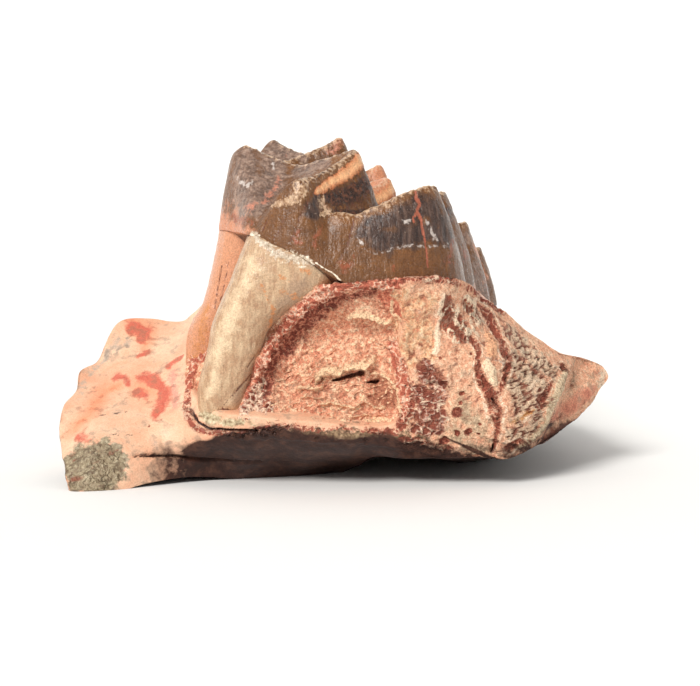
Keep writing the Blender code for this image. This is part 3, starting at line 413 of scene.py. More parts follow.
JAW_LOOSE = {
    "red_stain": (
        ((-20.4, 14.7, 12.8, 0.7), (-18.9, 14.4, 12.5, 0.65), (-19.3, 13.2, 11.6, 0.5)),
        ((-19.3, 11.3, 10.4, 0.28), (-18.6, 11.8, 10.8, 0.28)),
        ((-21.3, 9.3, 8.7, 0.46), (-20.4, 9.1, 8.7, 0.5), (-19.8, 8.0, 8.2, 0.36)),
        ((-18.9, 8.7, 8.8, 0.45), (-18.1, 8.2, 8.6, 0.72), (-17.1, 7.3, 8.3, 0.72), (-16.5, 5.8, 7.6, 0.72),
         (-16.7, 4.3, 6.5, 0.66), (-17.2, 3.7, 5.9, 0.53)), ((-19.0, 6.9, 7.7, 0.5), (-18.2, 6.3, 7.4, 0.54)),
        ((-16.3, 9.0, 9.6, 0.27), (-15.6, 9.2, 10.2, 0.27), (-15.2, 9.4, 10.5, 0.23)),
        ((-23.8, 2.5, 4.1, 0.44), (-22.9, 1.7, 3.9, 0.35))),
    "blush": (
        ((-20.8, 8.2, 8.1, 0.9), (-22.1, 7.8, 7.7, 1.3), (-22.6, 6.6, 6.9, 1.2), (-23.1, 5.2, 6.0, 1.0),
         (-23.9, 3.8, 5.0, 1.0), (-24.7, 3.6, 4.1, 0.9)),
        ((-20.2, 15.2, 13.2, 1.2), (-18.8, 14.4, 12.6, 1.2), (-18.9, 12.4, 11.4, 0.9)),
        ((-18.6, 7.4, 8.0, 1.5), (-16.6, 5.6, 7.4, 1.3)),
        ((13.5, 8.2, 14.5, 0.6), (15.4, 9.1, 13.2, 0.6), (17.2, 9.4, 11.8, 0.6), (18.7, 9.6, 10.7, 0.5)),
        ((8.2, 0.9, 14.5, 0.6), (9.1, 1.0, 13.7, 0.9), (9.8, 0.9, 12.3, 0.9), (9.6, 0.7, 11.1, 0.7))),
    "grey_place": (
        ((-24.5, 1.2, 1.7, 0.9), (-23.2, 0.2, 2.4, 1.3), (-21.5, 0.3, 3.1, 1.25), (-20.4, 0.2, 2.7, 0.96),
         (-20.6, -0.7, 1.6, 1.3), (-22.4, -1.4, 1.0, 1.3), (-23.9, -0.1, 0.8, 0.9)),
        ((-23.6, -0.9, 0.5, 0.9), (-21.0, -1.2, 0.6, 0.9))),
    "grey_tint": (
        ((-21.7, 13.0, 11.2, 0.6), (-21.4, 13.6, 11.7, 0.45)), ((-20.5, 12.9, 11.5, 0.45),),
        ((-22.2, 12.7, 10.7, 0.3), (-24.4, 8.8, 7.7, 0.36), (-24.3, 7.5, 7.0, 0.36)),
        ((8.8, 0.5, 8.9, 0.5), (9.7, 0.6, 9.5, 0.6), (10.4, 0.7, 10.0, 0.42))),
    "grey_bone": (
        ((9.7, 0.3, 7.6, 0.9), (10.4, 0.2, 6.3, 1.1), (11.3, 0.2, 5.2, 1.2), (12.0, 0.4, 4.1, 0.9)),
        ((8.8, 0.2, 5.4, 0.8), (10.0, 0.5, 3.6, 0.8), (11.3, 0.7, 3.2, 0.8), (12.4, 0.7, 3.0, 0.7)),
        ((13.9, 0.8, 4.0, 0.9), (14.9, 1.4, 3.4, 0.9))),
    "green_lip": (
        ((-9.6, -0.1, 4.6, 0.4), (-6.1, -0.1, 4.6, 0.6), (-4.3, -0.4, 4.6, 0.7), (-1.7, 0.0, 4.6, 0.85),
         (0.9, 0.4, 4.5, 0.95), (3.5, 0.3, 4.3, 0.95), (5.2, 0.3, 3.9, 0.9), (7.8, 0.7, 3.2, 0.6)),),
    "granular": (
        ((4.6, 0.8, 16.8, 1.3), (5.2, 0.9, 14.4, 1.3), (5.0, 0.9, 12.0, 0.9), (5.4, 0.9, 10.6, 0.7)),
        ((4.2, 0.7, 16.6, 0.9), (5.7, 1.0, 16.2, 1.2), (7.1, 1.4, 16.2, 1.1), (8.4, 1.8, 16.3, 0.8)),
        ((5.1, 1.2, 15.0, 0.9), (6.1, 1.2, 14.7, 0.9), (6.9, 0.8, 14.4, 0.61)),
        ((6.2, 0.8, 13.4, 1.0), (6.5, 0.7, 12.8, 0.9), (7.1, 0.6, 11.8, 0.7), (6.3, 0.7, 10.8, 0.5))),
    "net_zone": (
        ((8.3, 1.5, 16.2, 1.0), (8.6, 1.0, 14.6, 1.3), (9.6, 1.4, 13.4, 1.1)),
        ((10.0, 3.0, 16.2, 0.7), (11.2, 3.4, 14.6, 0.8))),
    "wrinkled": (
        ((6.5, 0.7, 10.2, 0.9), (7.6, 0.6, 9.0, 1.0)), ((6.1, 0.5, 8.0, 0.9), (7.6, 0.3, 7.4, 1.0)),
        ((6.2, 0.2, 6.3, 0.95), (7.9, 0.2, 6.2, 0.75)), ((5.7, 0.0, 5.2, 0.6), (7.5, 0.1, 5.2, 0.6))),
    "sponge": (
        ((13.8, 5.7, 13.3, 0.6), (14.7, 5.7, 12.4, 0.9), (15.9, 6.0, 11.3, 0.9), (17.0, 6.4, 10.3, 0.9),
         (18.2, 7.2, 9.4, 0.6)), ((14.2, 3.1, 10.8, 0.9), (15.4, 3.8, 9.7, 1.1), (16.6, 4.3, 8.5, 1.0)),
        ((14.4, 2.2, 8.7, 1.0), (15.3, 2.2, 7.4, 1.0), (14.8, 1.3, 6.2, 0.9)),
        ((16.3, 3.2, 7.3, 0.9), (16.2, 2.6, 5.6, 0.9), (15.3, 2.0, 4.6, 0.8), (13.9, 0.8, 4.6, 0.6))),
    "root_lip": (
        ((-12.8, 1.5, 6.2, 0.5), (-11.8, 1.0, 5.8, 0.6), (-10.5, 0.6, 5.7, 0.6), (-9.1, 0.2, 5.7, 0.5),
         (-8.0, 0.1, 5.5, 0.3)),),
    "amber": (
        ((13.9, 0.8, 5.5, 0.24), (14.7, 1.2, 5.8, 0.28), (15.5, 2.0, 6.4, 0.24), (16.2, 2.9, 6.6, 0.16)),),
    "red_shelf": (
        ((22.5, 12.0, 7.3, 0.5), (21.5, 11.0, 6.7, 0.75), (20.4, 9.3, 6.2, 0.85), (19.2, 7.3, 5.6, 0.75),
         (18.1, 5.6, 5.1, 0.5)),),
    # Painted shadow under the shelf on the palate side.
    "shelf_shadow": (
        ((20.6, 10.1, 4.6, 0.45), (19.0, 8.2, 4.1, 0.65), (17.7, 6.2, 3.4, 0.65), (16.6, 4.6, 2.9, 0.5)),),
    "pink_pitted": (((-16.0, 7.6, 9.1, 0.6), (-15.6, 5.6, 7.9, 0.6), (-15.5, 4.0, 6.8, 0.5)),)}
JAW_FIRM = {
    "island": (((12.1, 3.3, 13.0, 0.35), (12.4, 2.7, 12.2, 0.61), (12.3, 1.9, 11.4, 0.5)),),
    "island_foot": (
        ((11.9, 1.2, 10.8, 0.35), (12.2, 1.3, 10.1, 0.52), (12.5, 1.1, 9.3, 0.44), (12.7, 1.4, 8.6, 0.2)),),
    "island_grey": (
        ((11.7, 1.3, 11.2, 0.24), (12.4, 1.6, 11.0, 0.1), (13.2, 2.2, 10.8, 0.3), (13.5, 2.2, 10.6, 0.2)),),
    "strip": (
        ((19.4, 8.7, 9.2, 0.34), (18.8, 7.0, 8.2, 0.56), (18.3, 5.8, 7.4, 0.62), (17.7, 4.5, 6.4, 0.62),
         (17.2, 4.0, 5.4, 0.6), (16.3, 3.0, 4.2, 0.45), (14.9, 1.6, 3.4, 0.35)),),
    "pale_tip": (((23.5, 13.7, 8.6, 0.47), (23.2, 13.4, 7.6, 0.4)),)}

jaw_falls = np.concatenate([
    np.concatenate([[0.0, 0.12], np.linspace(0.2, 0.999, 90)]) * FACE_END,
    FACE_END + (SIDES_END - FACE_END) * np.linspace(0.0, 1.0, 38) ** 1.25,
    SIDES_END + (1.0 - SIDES_END) * np.linspace(0.0, 1.0, 26)[1:]])
JAW_TURNS = 630
jaw_turn, jaw_fall = spread(jaw_falls, JAW_TURNS)
jaw_skin = jaw_surface(jaw_turn, jaw_fall)
jaw_normals = outward(jaw_skin, JAW_TURNS)
x, z = jaw_skin[:, 0], jaw_skin[:, 2]
on_face = 1.0 - ease(jaw_fall, 0.495, 0.53)
snapped = on_face * ease(x, 3.5, 5.0)
front_break = ease(jaw_fall, 0.84, 0.88)
loose = strayed(jaw_skin, 21, 0.26, 0.10)
firm = strayed(jaw_skin, 22, 0.07, 0.05)
crooked = strayed(jaw_skin, 36, 0.16, 0.11)
jaw = {name: trails(loose, lines) for name, lines in JAW_LOOSE.items()}
jaw.update({name: trails(firm, lines) for name, lines in JAW_FIRM.items()})
jaw["red_stain"] = np.maximum(jaw["red_stain"], (grain(jaw_skin, 6.0, 31, 3) - 0.45) * 3.0 - 3.0 * on_face)
jaw["blush"] = np.maximum(jaw["blush"], (grain(jaw_skin, 9.0, 32, 2) - 0.1) * 2.0 - 3.0 * on_face)
jaw["maroon"] = trail(loose, LEFT_MAROON)
jaw["sponge"] = np.maximum(jaw["sponge"], 2.0 * front_break - 1.0)
clinging = np.maximum(trails(loose, CLINGING_ROCK), jaw["maroon"])
clinging = np.maximum(clinging, (grain(jaw_skin, 5.0, 33, 3) - 0.5) * 3.0 - 3.0 * on_face
                      - 2.0 * ease(-z, -8.0, -2.0))
fills = trails(crooked, RED_FILLS)
nets = trails(crooked, NETS)
pit = trails(strayed(jaw_skin, 30, 0.22, 0.16), PITS)
dots = trails(firm, DOTS) - (1.0 - ease(grain(jaw_skin, 0.5, 23, 1), -0.3, 0.2))
crease = trail(firm, CREASE, 0.2)
thin_crack = np.maximum(trails(firm, (*THIN_CRACKS, CRACK_HOLE)), trails(firm, ROOT_CREVICES, 0.2))
side_crack = worms(jaw_skin, 5.0, 34, 0.02, 3, (1.0, 5.0, 1.0)) * (1.0 - on_face) * ease(z, 1.0, 3.0)
side_crack = side_crack * 2.0 - 1.0
down_right = np.array([(0.62, 0.0, 0.78), (0.0, 1.0, 0.0), (-0.78, 0.0, 0.62)])
streaks = grain(jaw_skin @ down_right, 0.42, 11, 3, (0.6, 2.0, 3.4))
slits = worms(jaw_skin @ down_right, 0.62, 13, 0.20, 2, (0.55, 1.6, 2.6))
crinkles = worms(jaw_skin, 0.85, 28, 0.13, 3, (1.0, 1.0, 1.7)) * ease(grain(jaw_skin, 1.7, 29, 2), -0.3, 0.2)
curls = worms(jaw_skin, 0.50, 24, 0.32, 2)
up_curls = worms(jaw_skin, 0.75, 25, 0.30, 2, (0.7, 1.0, 1.7))
shape = 0.10 * grain(jaw_skin, 3.0, 14, 3) + 0.35 * front_break * grain(jaw_skin, 1.6, 20, 4)
shape += 0.20 * snapped * grain(jaw_skin, 1.8, 26, 2) + raised((
    (-0.50, crease, 0.0, 0.9), (0.22, trail(jaw_skin, FOLD, 0.2), 0.0, 0.8),
    (-0.25, jaw["grey_place"], 0.0, 0.2), (0.14, jaw["green_lip"], 0.0, 0.4), (0.24, jaw["island"], 0.0, 0.4),
    (0.20, jaw["island_foot"], 0.0, 0.4), (0.26, jaw["strip"], 0.0, 0.5),
    (0.20, trail(loose, SHAFT), 0.0, 0.5)))
fine_relief = 0.020 * grain(jaw_skin, 0.5, 15, 3) + 0.07 * snapped * grain(jaw_skin, 0.7, 16, 3)
fine_relief -= 0.10 * snapped * crinkles * (1.0 - ease(jaw["grey_place"], 0.0, 0.2))
fine_relief += raised((
    (0.16 * streaks - 0.20 * slits, jaw["sponge"], 0.0, 0.3),
    (0.24 * (curls - 0.5), jaw["wrinkled"], -0.1, 0.3),
    (0.26 * (up_curls - 0.5), jaw["net_zone"], 0.0, 0.3), (0.14, nets, 0.0, 0.6),
    (0.20 * (curls - 0.45), clinging, 0.0, 0.3), (0.22 * curls - 0.20, fills, 0.0, 0.3),
    (0.20 * grain(jaw_skin, 0.8, 17, 4, (2.6, 1.0, 0.7)), jaw["grey_place"], 0.0, 0.3),
    (-0.24, pit, 0.0, 0.5), (-0.05, dots, 0.0, 0.6), (-0.10, side_crack, 0.0, 0.7),
    (-0.55, thin_crack, 0.0, 0.7),
    (0.05 * (curls - 0.5), jaw["green_lip"], 0.0, 0.3),
    (0.05 * grain(jaw_skin, 0.3, 27, 2), jaw["granular"], 0.0, 0.4)))
lifted = ease(z, -0.4, 0.6)
jaw_skin = jaw_skin + jaw_normals * ((shape + fine_relief) * lifted)[:, None]
jaw_skin[:, 2] = np.maximum(jaw_skin[:, 2], 0.0)
# Painted shade: places low on the jaw that face down, and the low edge of the snapped face, are painted dark
# brown.
underside_shade = ease(-jaw_normals[:, 2], 0.10, 0.62) * (1.0 - ease(z, 5.0, 8.0))
low_edge_shade = ease(x, -19.5, -12.5) * (1.0 - ease(z, 1.8, 4.6)) * (1.0 - ease(x, 3.0, 10.0)) * on_face
jaw.update({
    "underside_shade": np.maximum(underside_shade, low_edge_shade) * (1.0 - 0.8 * ease(jaw["grey_place"], -0.2, 0.1)),
    "net": np.maximum(nets, ease(jaw["net_zone"], -0.1, 0.3) * (2.2 * up_curls - 0.7)
                      - (jaw["net_zone"] < -0.1)),
    "slits": np.where(jaw["sponge"] > 0.0, slits, -1.0), "pit": pit, "snapped": snapped,
    # Cracks and dots are dark marks of their own; the crease's share is painted shadow along its groove.
    "dark": np.max([thin_crack, dots * 0.8, crease * 0.6, side_crack], axis=0),
    "red_rock": np.maximum(clinging, fills), "fill_edge": 1.0 - np.abs(fills + 0.35) / 0.35,
    # Painted shade and highlight: hollows of the fine relief are painted darker, and its raised grain
    # lighter.
    "relief_shading": np.clip(0.5 - fine_relief / 0.22, -1.0, 1.0),
    "rough": np.max([ease(one, -0.1, 0.3) for one in (jaw["wrinkled"], clinging, fills, jaw["net_zone"],
                                                      jaw["grey_place"] * 0.7)], axis=0)})


def wire(tree, kind, sockets=None, **settings):
    """Adds a node; sockets gives a number, a colour or another node's output for each input."""
    node = tree.nodes.new(kind)
    for key, value in settings.items():
        setattr(node, key, value)
    for key, value in (sockets or {}).items():
        if isinstance(value, bpy.types.NodeSocket):
            tree.links.new(value, node.inputs[key])
        else:
            node.inputs[key].default_value = value
    return node


def stretched(tree, value, low, high, start=0.0, stop=1.0):
    """Map Range: low to high becomes start to stop, held at both ends."""
    return wire(tree, "ShaderNodeMapRange", {0: value, 1: low, 2: high, 3: start, 4: stop}).outputs[0]


def joined(tree, way, first, second):
    """One sum, difference or product of two numbers."""
    return wire(tree, "ShaderNodeMath", {0: first, 1: second}, operation=way).outputs[0]


def product(tree, first, *others):
    """All these numbers multiplied in turn."""
    for other in others:
        first = joined(tree, "MULTIPLY", first, other)
    return first


def blended(tree, share, first, second, way="MIX"):
    """Colour mix of first and second by share."""
    return wire(tree, "ShaderNodeMix", {0: share, 6: first, 7: second}, data_type="RGBA",
                blend_type=way).outputs[2]


def held(tree, mark):
    """The value of a mark that the mesh holds."""
    return wire(tree, "ShaderNodeAttribute", attribute_name=mark).outputs["Fac"]


def speckle(tree, spot, size, detail, rough):
    """Noise of patches about size millimetres wide, about 0.5."""
    return wire(tree, "ShaderNodeTexNoise", {"Vector": spot, "Scale": 1.0 / size, "Detail": detail,
                                             "Roughness": rough}).outputs["Fac"]


def mottle(tree, spot, size, detail, reach=0.16):
    """The same noise drawn out so that it runs from 0 to 1."""
    return stretched(tree, speckle(tree, spot, size, detail, 0.62), 0.5 - reach, 0.5 + reach)


def threads(tree, spot, size, width):
    """Curled threads about size millimetres apart: 1 where a noise passes through its middle value."""
    gap = joined(tree, "SUBTRACT", speckle(tree, spot, size, 2.0, 0.55), 0.5)
    off = wire(tree, "ShaderNodeMath", {0: gap}, operation="ABSOLUTE").outputs[0]
    return stretched(tree, off, 0.0, width, 1.0, 0.0)


def stone_paint(name):
    """A new material with places in millimetres and its mottles from broad to gritty, and curled threads."""
    material = bpy.data.materials.new(name)
    material.use_nodes = True
    tree = material.node_tree
    spot = wire(tree, "ShaderNodeTexCoord").outputs["Object"]
    spot = wire(tree, "ShaderNodeVectorMath", {0: spot, 3: 1.0 / MM}, operation="SCALE").outputs[0]
    mottles = [mottle(tree, spot, size, detail)
               for size, detail in ((3.2, 2.0), (1.0, 3.0), (0.34, 3.0), (0.13, 2.0))]
    return material, tree, spot, mottles, threads(tree, spot, 0.85, 0.085)


def marked(tree, mark, noise, ragged, low, high):
    """How much of a mark shows: its value, made ragged by a noise about 0.5, from low to high."""
    edge = product(tree, joined(tree, "SUBTRACT", noise, 0.5), ragged)
    return stretched(tree, joined(tree, "ADD", held(tree, mark), edge), low, high)


def tone(red, green, blue):
    """Light strengths of a paint-chart colour of 0 to 255: ((c / 255 + 0.055) / 1.055) to the power 2.4."""
    return tuple(((part / 255.0 + 0.055) / 1.055) ** 2.4 for part in (red, green, blue)) + (1.0,)


def shade(tree, paint):
    """The colour of a paint: a ready output, a paint-chart colour, or a row of base, noise of 0 to 1,
    amount, deep and lit. Such a row tints its base deep where the noise is low and lit where it is high."""
    if isinstance(paint, bpy.types.NodeSocket):
        return paint
    if len(paint) == 3:
        return tone(*paint)
    base, noise, amount, deep, lit = paint
    low = product(tree, stretched(tree, noise, 0.0, 0.48, 1.0, 0.0), amount)
    high = product(tree, stretched(tree, noise, 0.52, 1.0), amount)
    return blended(tree, high, blended(tree, low, shade(tree, base), tone(*deep)), tone(*lit))


def painted(tree, colour, layers):
    """Lays marks over a colour in turn, rows of mark, noise, raggedness, low, high and paint; one number
    more thins the layer."""
    for mark, noise, ragged, low, high, paint, *thin in layers:
        share = product(tree, marked(tree, mark, noise, ragged, low, high), *thin)
        colour = blended(tree, share, colour, shade(tree, paint))
    return colour


def finish_paint(tree, colour, height, millimetres, gritty, strength):
    """Wires colour and bump to the shader; strength lays a fine light and dark speckle over the colour."""
    dusted = blended(tree, gritty, (0.60, 0.57, 0.55, 1.0), (1.30, 1.30, 1.30, 1.0))
    shader = tree.nodes["Principled BSDF"]
    tree.links.new(blended(tree, strength, colour, dusted, "MULTIPLY"), shader.inputs["Base Color"])
    bump = wire(tree, "ShaderNodeBump", {"Strength": 1.0, "Distance": millimetres * MM, "Height": height})
    tree.links.new(bump.outputs["Normal"], shader.inputs["Normal"])
    return shader


bone_paint, tree, spot, (broad, middling, fine, grit), curled = stone_paint("cream_bone")
snap = held(tree, "snapped")
cream = blended(tree, broad, tone(241, 200, 168), tone(230, 175, 142))
cream = shade(tree, (cream, middling, 0.35, (224, 160, 128), (246, 218, 190)))
tan = ((234, 180, 146), middling, 0.6, (214, 144, 114), (250, 212, 178))
spongy = ((234, 200, 168), fine, 0.7, (160, 124, 102), (252, 230, 202))
greenish = ((150, 134, 108), middling, 0.8, (96, 82, 64), (188, 172, 142))
colour = painted(tree, cream, (
    ("blush", middling, 0.7, -0.1, 1.3, (235, 142, 100)),
    ("grey_tint", middling, 1.2, 0.0, 0.9, (190, 170, 152)),
    ("pink_pitted", fine, 0.9, 0.0, 0.8, (226, 158, 138)),
    ("red_stain", middling, 0.9, -0.05, 0.55,
     ((210, 108, 86), middling, 0.8, (180, 84, 68), (222, 138, 110))),
    ("snapped", middling, 0.0, 0.0, 1.0, (tan, fine, 0.7, (198, 130, 102), (252, 220, 188)), 0.85),
    ("grey_bone", middling, 1.0, 0.0, 0.9, ((196, 168, 138), fine, 0.7, (148, 112, 88), (232, 208, 176))),
    ("granular", middling, 0.8, -0.1, 0.5, ((236, 184, 142), fine, 0.9, (196, 120, 92), (250, 218, 180))),
    ("net_zone", middling, 0.8, -0.05, 0.4, ((226, 158, 124), curled, 0.95, (178, 98, 76), (255, 230, 202))),
    ("sponge", middling, 0.7, -0.05, 0.35, (spongy, middling, 0.4, (206, 156, 128), (244, 220, 192))),
    ("slits", fine, 0.6, 0.15, 0.75, (112, 82, 70), 0.8),
    ("wrinkled", middling, 0.9, -0.05, 0.3, ((196, 130, 106), curled, 0.95, (126, 64, 52), (240, 206, 188))),
    ("grey_place", middling, 0.5, -0.05, 0.15, (greenish, fine, 0.7, (108, 86, 70), (206, 192, 162))),
    ("green_lip", middling, 0.8, 0.0, 0.3, ((132, 106, 80), fine, 0.9, (70, 42, 34), (184, 158, 124))),
    ("red_shelf", middling, 0.6, -0.1, 0.3,
     ((222, 152, 124), middling, 0.8, (188, 108, 88), (238, 184, 154))),
    # Painted shadow under the shelf.
    ("shelf_shadow", middling, 0.6, -0.1, 0.5, (104, 66, 54)),
    ("red_rock", fine, 0.7, 0.0, 0.25, ((208, 128, 100), curled, 0.9, (146, 72, 56), (250, 210, 180))),
    ("maroon", fine, 0.7, 0.0, 0.4, (172, 92, 72)),
    ("fill_edge", fine, 0.8, 0.2, 0.8, (250, 220, 192)),
    ("root_lip", middling, 0.6, 0.0, 0.4, ((190, 172, 138), fine, 0.9, (128, 100, 74), (228, 212, 180))),
    ("island", fine, 0.5, 0.0, 0.2, (240, 182, 142)),
    ("island_foot", fine, 0.6, 0.0, 0.2, (250, 222, 188)),
    ("island_grey", fine, 1.0, 0.3, 0.9, (206, 180, 160)),
    ("amber", fine, 0.9, 0.1, 0.8, (204, 140, 78)),
    ("strip", fine, 0.6, 0.0, 0.4, ((226, 200, 166), fine, 0.8, (176, 146, 114), (246, 230, 198))),
    ("pale_tip", fine, 0.8, 0.0, 0.6, (230, 206, 180)),
    ("net", fine, 0.8, 0.1, 0.7, (252, 226, 196)),
    # Painted shade in the hollows of the fine relief, then painted highlight on its raised grain on the
    # snapped face.
    ("relief_shading", fine, 0.2, 0.66, 0.95, (140, 76, 58), 0.80),
    ("relief_shading", fine, 0.2, 0.36, 0.05, (250, 222, 192), snap, 0.8),
    ("pit", fine, 0.3, -0.7, -0.1, (226, 190, 156), 0.5),
    ("pit", fine, 0.3, 0.0, 0.2, ((140, 70, 54), fine, 0.9, (70, 30, 26), (206, 132, 106))),
    # Dark cracks and dots, with painted shadow along the crease.
    ("dark", fine, 0.4, 0.05, 0.45, (58, 30, 26)),
    # Painted shade: dark brown on the underside, where the jaw faces down near the table.
    ("underside_shade", middling, 0.5, 0.05, 0.6, ((62, 36, 28), middling, 0.7, (44, 24, 18), (92, 60, 46)))))
height = joined(tree, "ADD", product(tree, curled, held(tree, "rough"), 0.7),
                product(tree, fine, stretched(tree, snap, 0.0, 1.0, 0.10, 0.55)))
shader = finish_paint(tree, colour, height, 0.16, grit, stretched(tree, snap, 0.0, 1.0, 0.30, 0.75))
shader.inputs["Specular IOR Level"].default_value = 0.3
tree.links.new(stretched(tree, snap, 0.0, 1.0, 0.45, 0.8), shader.inputs["Roughness"])
piece("jaw_bone_fossil", [grid_mesh(jaw_skin, JAW_TURNS, jaw)], bone_paint, "jaw_bone")

# The rock: crumbly red siltstone that set in the hollow between the roots. A salmon crust arches along
# the roots, a dark-red band follows inside it, and the peach middle has flaked away in thin ledges.
ROCK_DEPTHS = np.array([
    (-9.4, 6.2, 0.6), (-5.0, 5.4, 0.5), (0.0, 4.8, 0.4), (3.6, 5.2, 0.6), (-7.4, 11.2, 1.0),
    (-4.6, 14.8, 0.6), (0.0, 17.4, -0.9), (4.2, 17.6, -1.0), (4.6, 12.6, 1.0), (4.8, 8.6, 0.8),
    (-6.0, 9.6, 2.6), (-4.6, 12.8, 3.0), (-1.4, 14.6, 2.6), (2.2, 13.6, 2.4), (-3.0, 10.4, 2.2),
    (0.6, 10.8, 2.0), (3.0, 10.0, 2.0), (-3.6, 7.4, 1.4), (0.4, 7.2, 1.6), (3.0, 7.0, 1.4), (2.4, 15.8, 0.6),
    (-13.8, 12.0, 8.4), (-14.2, 8.0, 5.0), (-11.6, 6.6, 4.2), (-9.6, 15.0, 6.0)])
ROCK_BACK = 11.5
FRONT_END = 0.7
BACK_START = 0.85
DARK_BAND = (
    (-8.2, 0.7, 6.9, 0.75), (-7.4, 1.9, 8.8, 0.95), (-6.3, 1.9, 11.1, 1.0), (-5.0, 2.6, 13.1, 1.0),
    (-3.4, 1.4, 14.9, 0.9), (-1.5, 1.7, 16.1, 0.7), (0.4, 2.0, 16.9, 0.55), (1.8, 0.2, 17.1, 0.5))
ROCK_CRUST = (
    (-9.1, 0.8, 6.0, 0.7), (-8.7, 1.5, 7.4, 0.7), (-8.0, 1.5, 9.4, 0.72), (-7.0, 1.5, 11.8, 0.72),
    (-5.6, 2.5, 13.9, 0.72), (-4.0, 1.0, 15.6, 0.7), (-2.1, 0.2, 16.9, 0.66), (-0.4, -0.6, 17.5, 0.62),
    (1.7, -0.9, 17.6, 0.6), (4.4, -0.8, 17.8, 0.55))
SALMON_TOP = ((2.6, 0.4, 16.9, 0.7), (3.6, 0.5, 15.9, 0.8), (4.4, 0.6, 15.0, 0.5))
PEACH_TOP = ((4.0, 0.5, 16.6, 0.8), (4.4, 0.5, 15.4, 0.9), (4.6, 0.6, 13.6, 0.8), (4.6, 0.6, 12.4, 0.4))
RIGHT_MAROON = CLINGING_ROCK[3]
SPECKLED = (
    ((-8.9, 0.8, 6.2, 0.9), (-8.3, 1.0, 7.4, 0.8), (-7.7, 1.9, 8.9, 0.55)),
    ((-7.4, 0.9, 6.4, 0.7), (-6.9, 1.2, 7.0, 0.5)))
LEDGES = (
    (((-3.3, 8.6), (-2.8, 8.9), (-2.3, 9.4), (-1.5, 9.6), (-0.8, 9.5), (-0.5, 9.9), (0.2, 10.1), (0.9, 10.1),
      (1.4, 10.2), (1.8, 10.6), (2.4, 10.8)), 0.95, 1.2),
    (((-4.8, 7.9), (-4.4, 8.1), (-3.8, 8.3), (-3.1, 8.2), (-2.4, 8.5), (-2.0, 8.9)), 0.55, 0.7),
    (((-4.5, 7.3), (-4.2, 7.4), (-3.5, 7.6), (-2.6, 7.5), (-1.9, 7.8)), 0.42, 0.5),
    (((-0.6, 15.0), (-0.2, 14.9), (0.2, 15.1), (1.1, 15.3), (2.3, 14.9), (3.3, 14.4), (4.0, 14.3)), 0.75,
     0.8), (((-2.6, 15.4), (-2.2, 15.5), (-1.7, 15.4), (-0.9, 15.1), (-0.5, 14.9)), 0.35, 0.5),
    (((-3.0, 7.0), (-2.8, 6.9), (-1.7, 7.2), (-0.4, 6.7), (0.2, 6.5), (1.1, 7.1), (2.4, 6.8), (3.5, 6.6)),
     0.5, 0.6),
    (((-3.9, 5.9), (-2.8, 5.8), (-1.3, 5.9), (0.0, 5.8), (1.3, 6.1), (2.4, 6.2), (3.6, 5.9)), 0.3, 0.4),
    (((-5.6, 10.4), (-4.6, 10.9), (-3.6, 11.6), (-2.6, 12.2)), 0.22, 0.7),
    (((-4.4, 9.4), (-3.4, 10.3), (-2.2, 11.0), (-1.0, 11.8)), 0.22, 0.7),
    (((2.0, 12.4), (2.8, 12.2), (3.8, 11.4), (4.6, 11.2)), 0.3, 0.7),
    (((2.6, 11.2), (3.4, 10.8), (4.0, 10.2), (4.8, 10.2)), 0.25, 0.5))
ROCK_HOLES = (
    ((-1.4, 1.8, 9.25, 0.12), (-0.8, 1.8, 9.4, 0.2), (0.2, 1.9, 9.55, 0.26), (1.1, 2.1, 9.75, 0.26)),
    ((1.6, 1.9, 8.95, 0.1), (2.0, 1.9, 9.05, 0.16), (2.5, 2.1, 9.2, 0.12)))
SCOOP = ((2.4, 1.8, 8.9, 0.8), (3.4, 1.6, 8.2, 0.9), (3.4, 1.4, 7.2, 0.8), (2.4, 1.5, 7.6, 0.8))
SCOOP_EDGE = (
    (1.9, 1.9, 9.8, 0.16), (2.8, 1.9, 9.7, 0.22), (3.5, 1.5, 9.2, 0.24), (4.0, 1.2, 8.4, 0.26),
    (4.2, 0.9, 7.4, 0.26), (4.4, 0.6, 6.5, 0.24))
CREAM_FLAKES = (
    ((1.3, 0.8, 5.7, 0.22), (2.4, 0.9, 5.9, 0.22), (3.6, 0.7, 5.7, 0.17)),
    ((-3.9, 0.5, 5.6, 0.22), (-2.8, 0.4, 5.6, 0.22), (-1.3, 0.5, 5.6, 0.22), (0.0, 0.5, 5.5, 0.22)),
    ((3.7, 0.8, 16.3, 0.2), (3.6, 0.8, 15.4, 0.2), (4.4, 0.8, 14.6, 0.22), (4.8, 0.7, 14.0, 0.2)),
    ((4.6, 1.0, 12.2, 0.2), (4.9, 1.0, 11.2, 0.18)))
ROCK_TURNS = 540
FLAKE_STEP = 0.85


def rock_surface(turn, fall):
    """Fall 0 to FRONT_END: the broken front from its middle to its outline, with the depth of the stretched
    sheet, led to the bone's own face on the palate side and below; to BACK_START: the sides; to 1: the
    flat back."""
    outline = read_loop(ROCK_OUTLINE, turn)
    reach = np.clip(fall / FRONT_END, 0.0, 1.0)[:, None]
    close = np.clip((1.0 - fall) / (1.0 - BACK_START), 0.0, 1.0)[:, None]
    spot = ROCK_CENTRE + (outline - ROCK_CENTRE) * np.minimum(reach, close)
    y = stretched_sheet(ROCK_DEPTHS)(spot)
    beside_bone = np.maximum(ease(outline[:, 0], 3.0, 4.6), 1.0 - ease(outline[:, 1], 5.8, 7.0))
    y = y + (face_depth(spot) + 0.12 - y) * (1.0 - ease(inside_rock(spot), 0.0, 1.1)) * beside_bone
    way = np.clip((fall - FRONT_END) / (BACK_START - FRONT_END), 0.0, 1.0)
    return np.column_stack([spot[:, 0], y + (ROCK_BACK - y) * way, spot[:, 1]])


